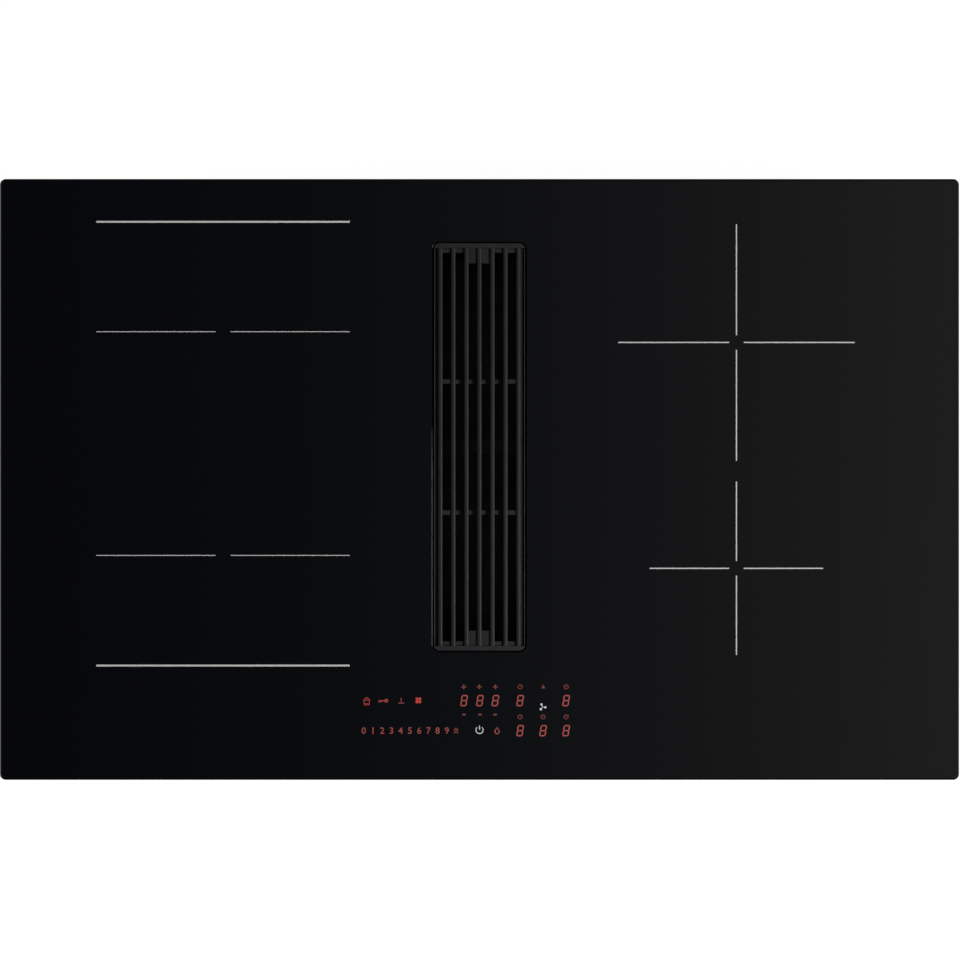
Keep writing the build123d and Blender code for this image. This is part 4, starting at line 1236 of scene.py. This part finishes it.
class COOKTOP_OT_coils(bpy.types.Operator):
    """Induction coils, their shields, ferrite bars, mica, sensors and trays"""

    bl_idname = "cooktop.coils"
    bl_label = "Induction coils"

    winding_width = 0.042
    wire_diameter = 0.0039
    turns = 9.5
    left_corner = 0.048

    def execute(self, context):
        coils = ["left_front_coil", "left_rear_coil", "right_front_coil", "right_rear_coil"]
        for name in coils:
            self.winding(name)
        coat_all([f"{name}_shield" for name in coils])
        coat_all(["mica_sheets", "left_coil_tray", "right_coil_tray"])
        soften_all(["ferrite_bars"], 0.0006)
        self.sensors(coils)
        soften_all(["coil_pads"], 0.0015, 3)
        return {"FINISHED"}

    def winding(self, name):
        """A flat spiral of litz wire from the coil's outside to its inside."""
        low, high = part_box(name)
        middle = (low + high) / 2
        half = (high - low) / 2
        corner = self.left_corner if "left" in name else min(half.x, half.y)
        steps = 8 if "left" in name else 14
        first = self.wire_diameter / 2
        pitch = (self.winding_width - self.wire_diameter) / self.turns
        points = []
        for k in range(int(self.turns * 4 * steps) + 1):
            inset = first + pitch * k / (4 * steps)
            quarter, step = divmod(k % (4 * steps), steps)
            angle = math.radians(90) * (quarter + (step + 0.5) / steps)
            side_x = 1 if quarter in (0, 3) else -1
            side_y = 1 if quarter in (0, 1) else -1
            reach = corner - inset
            points.append((
                middle.x + side_x * (half.x - corner) + reach * math.cos(angle),
                middle.y + side_y * (half.y - corner) + reach * math.sin(angle),
                0,
            ))
        spiral = wound(points, self.wire_diameter, fineness=2)
        spiral.scale.z = 2 * half.z / self.wire_diameter * 0.98
        spiral.location.z = middle.z
        settle(spiral)
        spiral.name = f"{name}_winding"
        shade(spiral, math.radians(60))
        dress(spiral, finish("copper_wire"), "hob", [name])

    def sensors(self, coils):
        """A ceramic sensor in the middle of each coil, waisted where its clip holds it."""
        low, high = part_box("temperature_sensors")
        radius, height = 0.006, high.z - low.z
        profile = [
            (0, 0), (radius - 0.0008, 0), (radius, 0.0008), (radius, 0.0035),
            (radius - 0.0012, 0.0042), (radius - 0.0012, 0.006), (radius, 0.0067),
            (radius, height - 0.001),
            (radius - 0.001, height), (0, height),
        ]
        puck = turned(profile)
        places = []
        for name in coils:
            start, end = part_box(name)
            places.append(((start.x + end.x) / 2, (start.y + end.y) / 2, low.z))
        pucks = joined(copies(puck, places), "ceramic_sensors")
        dress_in("sensor_ceramic", pucks, ["temperature_sensors"])


class COOKTOP_OT_electronics(bpy.types.Operator):
    """Power boards, heatsinks, fans and the touch board"""

    bl_idname = "cooktop.electronics"
    bl_label = "Electronics"

    def execute(self, context):
        coat_all(["left_power_board", "right_power_board", "board_standoffs", "heatsinks"])
        coat_all(["display_holder", "touch_board"])
        soften_all(["display_modules"], 0.0006)
        soften_all(["left_fan_frame", "right_fan_frame"], 0.0004)
        soften_all(["left_fan_rotor", "right_fan_rotor"], 0.0003)
        self.capacitors()
        self.relays()
        self.chokes()
        return {"FINISHED"}

    def capacitors(self):
        """Round capacitors in their sleeves, with a crimped foot and a sunk top."""
        low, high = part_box("capacitors")
        radius, height = 0.008, high.z - low.z
        profile = [
            (0, 0), (radius - 0.0006, 0), (radius, 0.0006), (radius, 0.0019),
            (radius - 0.0007, 0.0024),
            (radius, 0.0029), (radius, height - 0.0008), (radius - 0.0005, height),
            (radius - 0.0014, height), (radius - 0.0017, height - 0.0004), (0, height - 0.0004),
        ]
        can = turned(profile)
        middle = (low.y + high.y) / 2
        places = []
        for side in (-1, 1):
            for k in range(4):
                places.append((side * (high.x - radius), middle + (k - 1.5) * 3 * radius, low.z))
        cans = joined(copies(can, places), "capacitor_cans")
        dress_in(slot_of("capacitors"), cans, ["capacitors"])

    def relays(self):
        """A row of relays on each board, beside the capacitors."""
        board_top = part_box("right_power_board")[1].z
        relay = block((-0.006, -0.009, 0), (0.006, 0.009, 0.0145), 0.0007, 3)
        edit(relay, "FACE", lambda centre, normal: normal.z > 0.9)
        bpy.ops.mesh.inset(thickness=0.0006)
        bpy.ops.mesh.inset(thickness=0.0003, depth=-0.0003)
        done()
        column, rows = 0.113, (0.01, 0.038, 0.066, 0.094)
        places = [(side * column, y, board_top) for side in (-1, 1) for y in rows]
        relays = joined(copies(relay, places), "board_relays")
        dress_in("black_plastic", relays)

    def chokes(self):
        """Ring cores wound with copper wire, two on each board."""
        board_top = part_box("right_power_board")[1].z
        ring_radius, core_radius, wire_size, tall = 0.0085, 0.0034, 0.0013, 1.15
        turns, steps, sweep = 22, 10, math.radians(330)
        bpy.ops.mesh.primitive_torus_add(
            major_radius=ring_radius, minor_radius=core_radius, major_segments=36, minor_segments=12
        )
        core = bpy.context.object
        core.scale.z = tall
        settle(core)
        edit(core)
        bpy.ops.mesh.bevel(offset=0.0002, segments=1, affect="EDGES")
        done()
        points = []
        reach = core_radius + wire_size / 2
        for k in range(turns * steps):
            along = sweep * k / (turns * steps)
            around = 2 * math.pi * k / steps
            out = ring_radius + reach * math.cos(around)
            rise = tall * reach * math.sin(around)
            points.append((out * math.cos(along), out * math.sin(along), rise))
        coil = wound(points, wire_size, fineness=1)
        lift = board_top + (core_radius + wire_size) * tall + 0.0002
        column, rows = 0.1635, (0.03, 0.094)
        places = [(side * column, y, lift) for side in (-1, 1) for y in rows]
        cores = joined(copies(core, places), "choke_cores")
        dress_in("ferrite", cores)
        coils = joined(copies(coil, places), "choke_windings")
        shade(coils, math.radians(60))
        dress(coils, finish("copper_wire"), "hob")


class COOKTOP_OT_air_box(bpy.types.Operator):
    """Air box, blower and the outlet to the flat duct"""

    bl_idname = "cooktop.air_box"
    bl_label = "Air box and blower"

    rib_depth = 0.003
    rim_depth = 0.001

    def execute(self, context):
        edge = context.scene.cooktop_finishes.soft_edge
        soften_all(["air_box_lid", "outlet_adapter"], edge * 1.6)
        self.tub(edge * 1.6)
        coat_all(["blower_scroll", "scroll_cover", "blower_motor", "impeller"])
        self.tub_ribs()
        self.duct_rim()
        return {"FINISHED"}

    def tub(self, edge):
        """The tub, with shallow grooves across its underside."""
        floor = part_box("air_box_tub")[0].z
        tub = softened("air_box_tub", edge)
        half_width, left, right = 0.0016, -0.092, 0.288
        grooves = []
        for k in range(7):
            y = -0.15 + 0.04 * k
            grooves.append(block(
                (left, y - half_width, floor - 0.001), (right, y + half_width, floor + 0.0008),
            ))
        cut(tub, joined(grooves, "groove_cutter"))
        shade(tub)

    def tub_ribs(self):
        """Upright moulded ribs under the tub's flange, a little thinner towards the floor."""
        low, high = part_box("air_box_tub")
        flange, lid = 0.01, 0.003
        top, foot = high.z - lid + 0.0002, low.z + 0.012
        rib = block((-0.001, -self.rib_depth, foot), (0.001, 0.0004, top))
        edit(rib, "VERT", lambda point: point.z < foot + 0.001 and point.y < 0)
        bpy.ops.transform.translate(value=(0, self.rib_depth * 0.7, 0))
        done()
        edit(rib, "EDGE", lambda start, end: start.y < 0 and end.y < 0)
        bpy.ops.mesh.bevel(offset=0.0005, segments=2, affect="EDGES")
        done()
        ribs = []
        pitch, first_x, first_y, outlet_y = 0.052, -0.076, -0.146, 0.12
        for k in range(8):
            ribs.append(copied(rib, (first_x + k * pitch, low.y + flange, 0)))
        for k in range(7):
            y = first_y + k * pitch
            ribs.append(copied(rib, (low.x + flange, y, 0), math.radians(-90)))
            if y < outlet_y:
                ribs.append(copied(rib, (high.x - flange, y, 0), math.radians(90)))
        for k in range(3):
            ribs.append(copied(rib, (first_x + k * pitch, high.y - flange, 0), math.radians(180)))
        bpy.data.objects.remove(rib)
        ribs = joined(ribs, "air_box_ribs")
        dress_in("grey_plastic", ribs)

    def duct_rim(self):
        """Two raised bands round the outlet's spigot, where a flat duct slides on."""
        low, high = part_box("outlet_adapter")
        wall, depth = 0.002, self.rim_depth
        bands = []
        middle = ((low.x + high.x) / 2, (low.z + high.z) / 2)
        half = (0.111, 0.0445)
        for y, width in ((high.y - 0.0016, 0.003), (high.y - 0.0335, 0.003)):
            outline = []
            for corner_x, corner_z in ((1, 1), (-1, 1), (-1, -1), (1, -1)):
                outline.append((
                    middle[0] + corner_x * (half[0] - wall / 2), y,
                    middle[1] + corner_z * (half[1] - wall / 2),
                ))
            for k in range(4):
                start, end = outline[k], outline[(k + 1) % 4]
                reach = wall / 2 + depth
                bands.append(block(
                    (min(start[0], end[0]) - reach, y - width / 2, min(start[2], end[2]) - reach),
                    (
                        max(start[0], end[0]) + reach, y + width / 2 - 0.00005,
                        max(start[2], end[2]) + reach,
                    ),
                    0.0006,
                ))
        rim = joined(bands, "duct_bands")
        dress_in("grey_plastic", rim)


class COOKTOP_OT_terminal(bpy.types.Operator):
    """Mains terminal box with its block, gland and hinged cover"""

    bl_idname = "cooktop.terminal"
    bl_label = "Terminal box"

    def execute(self, context):
        edge = context.scene.cooktop_finishes.soft_edge
        soften_all(["terminal_box", "terminal_cover"], edge)
        self.gland()
        self.poles()
        return {"FINISHED"}

    def gland(self):
        """Cable gland: a six-sided body, a domed nut with grip ridges and a rubber lip."""
        low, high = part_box("cable_gland")
        x, z = (low.x + high.x) / 2, (low.z + high.z) / 2
        wall_y = (low.y + high.y) / 2
        outer, inner, bore = (high.x - low.x) / 2, 0.011, 0.007
        back = (math.radians(-90), 0, 0)
        thread_pitch, thread_depth, thread_end = 0.0016, 0.0008, 0.0095
        thread = [(bore, 0), (inner - 0.0006, 0)]
        for k in range(5):
            crest = 0.001 + k * thread_pitch
            thread += [(inner, crest), (inner - thread_depth, crest + thread_pitch / 2)]
        thread += [(inner - thread_depth, thread_end), (bore, thread_end), (bore, 0)]
        pieces = [turned(thread, (x, low.y, z), back, 36)]
        dome = [
            (bore, 0), (outer - 0.0016, 0), (outer - 0.0016, 0.0035), (outer - 0.0022, 0.0062),
            (outer - 0.0036, 0.0084), (bore + 0.0012, 0.0099), (bore, 0.0099), (bore, 0),
        ]
        pieces.append(turned(dome, (x, wall_y, z), back, 36))
        nut, chamfer = 0.0036, 0.0005
        bpy.ops.mesh.primitive_cylinder_add(
            vertices=6, radius=outer, depth=nut, location=(x, wall_y + nut / 2, z), rotation=back
        )
        body = bpy.context.object
        settle(body)
        edit(body, "FACE", lambda centre, normal: abs(normal.y) > 0.9)
        bpy.ops.mesh.inset(thickness=chamfer)
        bpy.ops.mesh.inset(thickness=outer * 0.866 - chamfer - bore)
        bpy.ops.mesh.bridge_edge_loops()
        done()
        modify(body, "BEVEL", width=0.0003, segments=2, limit_method="ANGLE", angle_limit=CORNER)
        pieces.append(body)
        ridges, half, reach = 12, 0.0005, outer - 0.0018
        for k in range(ridges):
            turn = 2 * math.pi * k / ridges
            ridge_x, ridge_z = x + reach * math.cos(turn), z + reach * math.sin(turn)
            pieces.append(block(
                (ridge_x - half, wall_y + 0.0034, ridge_z - half),
                (ridge_x + half, wall_y + 0.0056, ridge_z + half), 0.0002,
            ))
        gland = joined(pieces, "ribbed_gland")
        dress_in(slot_of("cable_gland"), gland, ["cable_gland"])

    def poles(self):
        """Terminal block of five poles between partitions, each with two slotted screws."""
        low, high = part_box("terminal_block")
        count, half_wall, inset, drop, screw_inset = 5, 0.0008, 0.0045, 0.004, 0.0085
        pitch = (high.x - low.x - 2 * half_wall) / count
        body = [block(
            (low.x, low.y + inset, low.z), (high.x, high.y - inset, high.z - drop), 0.0004,
        )]
        for k in range(count + 1):
            x = low.x + half_wall + k * pitch
            body.append(block(
                (x - half_wall, low.y, low.z), (x + half_wall, high.y, high.z), 0.0003,
            ))
        body = joined(body, "terminal_partitions")
        dress_in(slot_of("terminal_block"), body, ["terminal_block"])
        head = turned([
            (0, -0.003), (0.0018, -0.003), (0.0018, 0), (0.0033, 0), (0.0033, 0.0009),
            (0.0026, 0.0017), (0.0012, 0.002), (0.0012, 0.0009), (0, 0.0009),
        ], steps=20)
        places = []
        for k in range(count):
            x = low.x + half_wall + (k + 0.5) * pitch
            for y in (low.y + screw_inset, high.y - screw_inset):
                places.append((x, y, high.z - drop))
        screws = joined(copies(head, places), "terminal_screws")
        dress_in("plated_steel", screws)


class COOKTOP_OT_clamps(bpy.types.Operator):
    """Swivel clamps with their pressing screws"""

    bl_idname = "cooktop.clamps"
    bl_label = "Worktop clamps"

    thread_pitch = 0.0008

    def execute(self, context):
        corners = ["front_left", "front_right", "rear_left", "rear_right"]
        soften_all([f"clamp_{corner}" for corner in corners], 0.0004)
        for corner in corners:
            self.screw(f"press_screw_{corner}")
        soften_all(["clamp_pivots"], 0.0003)
        return {"FINISHED"}

    def screw(self, node):
        """Pressing screw with its thread, and a rounded head with a socket at its lower end."""
        low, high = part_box(node)
        radius, head = 0.0025, (high.x - low.x) / 2
        height = 0.003
        profile = [
            (0, 0.0016), (0.0014, 0.0016), (0.0014, 0.0001), (0.0016, 0), (head - 0.0008, 0),
            (head, 0.0007), (head, height - 0.0006), (head - 0.0006, height),
            (radius - 0.0003, height),
        ]
        reach = high.z - low.z
        count = int((reach - height - 0.0012) / self.thread_pitch)
        for k in range(count):
            step = height + 0.0006 + k * self.thread_pitch
            profile += [(radius, step), (radius - 0.00038, step + self.thread_pitch / 2)]
        profile += [(radius - 0.0006, reach - 0.0003), (radius - 0.0012, reach), (0, reach)]
        place = ((low.x + high.x) / 2, (low.y + high.y) / 2, low.z)
        piece = turned(profile, place, steps=18)
        piece.name = f"{node}_threaded"
        dress_in("plated_steel", piece, [node], body_of_node[node])


# ---------------------------------------------------------------- stage


class COOKTOP_OT_stage(bpy.types.Operator):
    """Pale floor, soft studio light and the camera over the glass"""

    bl_idname = "cooktop.stage"
    bl_label = "Stage"

    def execute(self, context):
        stage = context.scene.cooktop_stage
        self.floor()
        self.studio(stage)
        self.lamps(stage)
        clear_selection()
        shift, height = 0.00048, GLASS_TOP + stage.camera_height
        bpy.ops.object.camera_add(location=(shift, -shift, height), rotation=(0, 0, 0))
        camera = bpy.context.object
        camera.name = "photo_camera"
        camera.data.lens = stage.lens
        camera.data.sensor_width = 36.0
        camera.data.clip_end = 50.0
        context.scene.camera = camera
        context.scene.view_settings.view_transform = "Standard"
        return {"FINISHED"}

    def combined(self, tree, operation, first, second):
        """A number worked out from two."""
        node = add_node(tree, "ShaderNodeMath", {0: first, 1: second}, operation=operation)
        return node.outputs["Value"]

    def background_rays(self, tree, glossy):
        """One for the rays that see the background as white."""
        rays = tree.nodes.new("ShaderNodeLightPath").outputs
        found = rays["Is Camera Ray"]
        for name in ["Is Transmission Ray"] + ["Is Glossy Ray"] * glossy:
            found = self.combined(tree, "MAXIMUM", found, rays[name])
        return found

    def ramp(self, tree, value, stops):
        """Colours laid along a value, from the first stop to the last."""
        ramp = add_node(tree, "ShaderNodeValToRGB", {"Fac": value})
        elements = ramp.color_ramp.elements
        for element, (position, colour) in zip(elements, (stops[0], stops[-1])):
            element.position = position
            element.color = (*colour, 1)
        for position, colour in stops[1:-1]:
            elements.new(position).color = (*colour, 1)
        return ramp.outputs["Color"]

    def floor(self):
        """Pale floor, white to the camera and in reflections, and clear from below."""
        clear_selection()
        bpy.ops.mesh.primitive_plane_add(size=16, location=(0, 0, cad_low.z - 0.0003))
        floor = bpy.context.object
        floor.name = "floor"
        settle(floor)
        material = bpy.data.materials.new("pale_floor")
        material.use_nodes = True
        tree = material.node_tree
        shader = tree.nodes["Principled BSDF"]
        shader.inputs["Base Color"].default_value = (0.8, 0.8, 0.8, 1)
        shader.inputs["Roughness"].default_value = 0.9
        shader.inputs["Specular IOR Level"].default_value = 0.0
        faint = add_node(tree, "ShaderNodeBsdfDiffuse", {"Color": (0.17, 0.17, 0.17, 1)})
        glow = add_node(tree, "ShaderNodeEmission", {"Color": (1, 1, 1, 1), "Strength": 0.935})
        seen = add_node(
            tree, "ShaderNodeAddShader", {0: faint.outputs["BSDF"], 1: glow.outputs["Emission"]}
        )
        above = add_node(tree, "ShaderNodeMixShader", {
            "Fac": self.background_rays(tree, glossy=True),
            1: shader.outputs["BSDF"],
            2: seen.outputs["Shader"],
        })
        side = tree.nodes.new("ShaderNodeNewGeometry")
        clear = tree.nodes.new("ShaderNodeBsdfTransparent")
        both = add_node(tree, "ShaderNodeMixShader", {
            "Fac": side.outputs["Backfacing"],
            1: above.outputs["Shader"],
            2: clear.outputs["BSDF"],
        })
        tree.links.new(both.outputs["Shader"], tree.nodes["Material Output"].inputs["Surface"])
        floor.data.materials.append(material)

    def studio(self, stage):
        """White to the camera, and for light a room with pale walls and a dim ceiling."""
        world = bpy.data.worlds.new("studio")
        bpy.context.scene.world = world
        world.use_nodes = True
        tree = world.node_tree
        place = tree.nodes.new("ShaderNodeTexCoord")
        split = add_node(tree, "ShaderNodeSeparateXYZ", {"Vector": place.outputs["Generated"]})
        height = split.outputs["Z"]
        across = add_node(tree, "ShaderNodeMapRange", {
            "From Min": -0.5, "From Max": 0.5, "Value": split.outputs["X"],
        })
        ceiling = self.ramp(tree, across.outputs["Result"], [
            (0.3, (0.035, 0.041, 0.07)), (0.42, (0.06, 0.067, 0.082)),
            (0.5, (0.093, 0.103, 0.127)), (0.575, (0.155, 0.158, 0.18)),
            (0.62, (0.198, 0.2, 0.198)), (0.7, (0.295, 0.297, 0.292)),
            (1.0, (0.34, 0.335, 0.33)),
        ])
        pale, dim = (stage.horizon,) * 3, (stage.wall,) * 3
        horizon, wall_foot, wall_top, overhead = 0.17, 0.27, 0.75, 0.95
        walls = self.ramp(tree, height, [
            (0.0, pale), (horizon, pale), (wall_foot, dim), (wall_top, dim), (overhead, dim),
        ])
        rise = add_node(
            tree, "ShaderNodeMapRange",
            {"From Min": wall_top, "From Max": overhead, "Value": height},
            interpolation_type="SMOOTHSTEP",
        )
        room = add_node(
            tree, "ShaderNodeMix", {"Factor": rise.outputs["Result"], "A": walls, "B": ceiling},
            data_type="RGBA",
        )
        rays = tree.nodes.new("ShaderNodeLightPath").outputs
        low = self.combined(tree, "LESS_THAN", height, horizon)
        mirrored = self.combined(tree, "MULTIPLY", rays["Is Glossy Ray"], low)
        white = self.combined(tree, "MAXIMUM", self.background_rays(tree, glossy=False), mirrored)
        seen = add_node(
            tree, "ShaderNodeMix",
            {"Factor": white, "A": room.outputs["Result"], "B": (1, 1, 1, 1)}, data_type="RGBA",
        )
        background = tree.nodes["Background"]
        tree.links.new(seen.outputs["Result"], background.inputs["Color"])
        background.inputs["Strength"].default_value = 1.0

    def lamps(self, stage):
        """A side lamp that gives edges their glints, and a weak one that nothing mirrors."""
        for name, place, size, power, mirrored in (
            ("side_lamp", (1.65, -0.3, 2.8), 0.8, stage.side_lamp, True),
            ("fill_lamp", (-2.5, -1.3, 1.5), 2.0, stage.fill_lamp, False),
        ):
            clear_selection()
            bpy.ops.object.light_add(type="AREA", location=place)
            lamp = bpy.context.object
            lamp.name = name
            lamp.data.size = size
            lamp.data.energy = power
            lamp.visible_glossy = mirrored
            lamp.rotation_euler = Vector(place).to_track_quat("Z", "Y").to_euler()


# ---------------------------------------------------------------- panel and registration

PIECES = [
    COOKTOP_OT_glass_top,
    COOKTOP_OT_zone_lines,
    COOKTOP_OT_touch_controls,
    COOKTOP_OT_grille,
    COOKTOP_OT_filter,
    COOKTOP_OT_throat,
    COOKTOP_OT_casing,
    COOKTOP_OT_coils,
    COOKTOP_OT_electronics,
    COOKTOP_OT_air_box,
    COOKTOP_OT_terminal,
    COOKTOP_OT_clamps,
    COOKTOP_OT_stage,
]
SETTINGS = {
    "cooktop_prints": PrintSettings,
    "cooktop_controls": ControlSettings,
    "cooktop_finishes": FinishSettings,
    "cooktop_stage": StageSettings,
}


class COOKTOP_PT_panel(bpy.types.Panel):
    """Lists the cooktop's settings and its pieces"""

    bl_idname = "COOKTOP_PT_panel"
    bl_label = "Cooktop"
    bl_space_type = "VIEW_3D"
    bl_region_type = "UI"
    bl_category = "Cooktop"

    def draw(self, context):
        for name, group in SETTINGS.items():
            box = self.layout.box()
            for setting in group.__annotations__:
                box.prop(getattr(context.scene, name), setting)
        for operator in PIECES:
            self.layout.operator(operator.bl_idname)


def register():
    for group in SETTINGS.values():
        bpy.utils.register_class(group)
    for name, group in SETTINGS.items():
        setattr(bpy.types.Scene, name, bpy.props.PointerProperty(type=group))
    for operator in PIECES:
        bpy.utils.register_class(operator)
    bpy.utils.register_class(COOKTOP_PT_panel)


def unregister():
    bpy.utils.unregister_class(COOKTOP_PT_panel)
    for operator in reversed(PIECES):
        bpy.utils.unregister_class(operator)
    for name, group in SETTINGS.items():
        delattr(bpy.types.Scene, name)
        bpy.utils.unregister_class(group)


def main():
    register()
    bpy.ops.cooktop.glass_top()
    bpy.ops.cooktop.zone_lines()
    bpy.ops.cooktop.touch_controls()
    bpy.ops.cooktop.grille()
    bpy.ops.cooktop.filter()
    bpy.ops.cooktop.throat()
    bpy.ops.cooktop.casing()
    bpy.ops.cooktop.coils()
    bpy.ops.cooktop.electronics()
    bpy.ops.cooktop.air_box()
    bpy.ops.cooktop.terminal()
    bpy.ops.cooktop.clamps()
    bpy.ops.cooktop.stage()


if __name__ == "__main__":
    main()
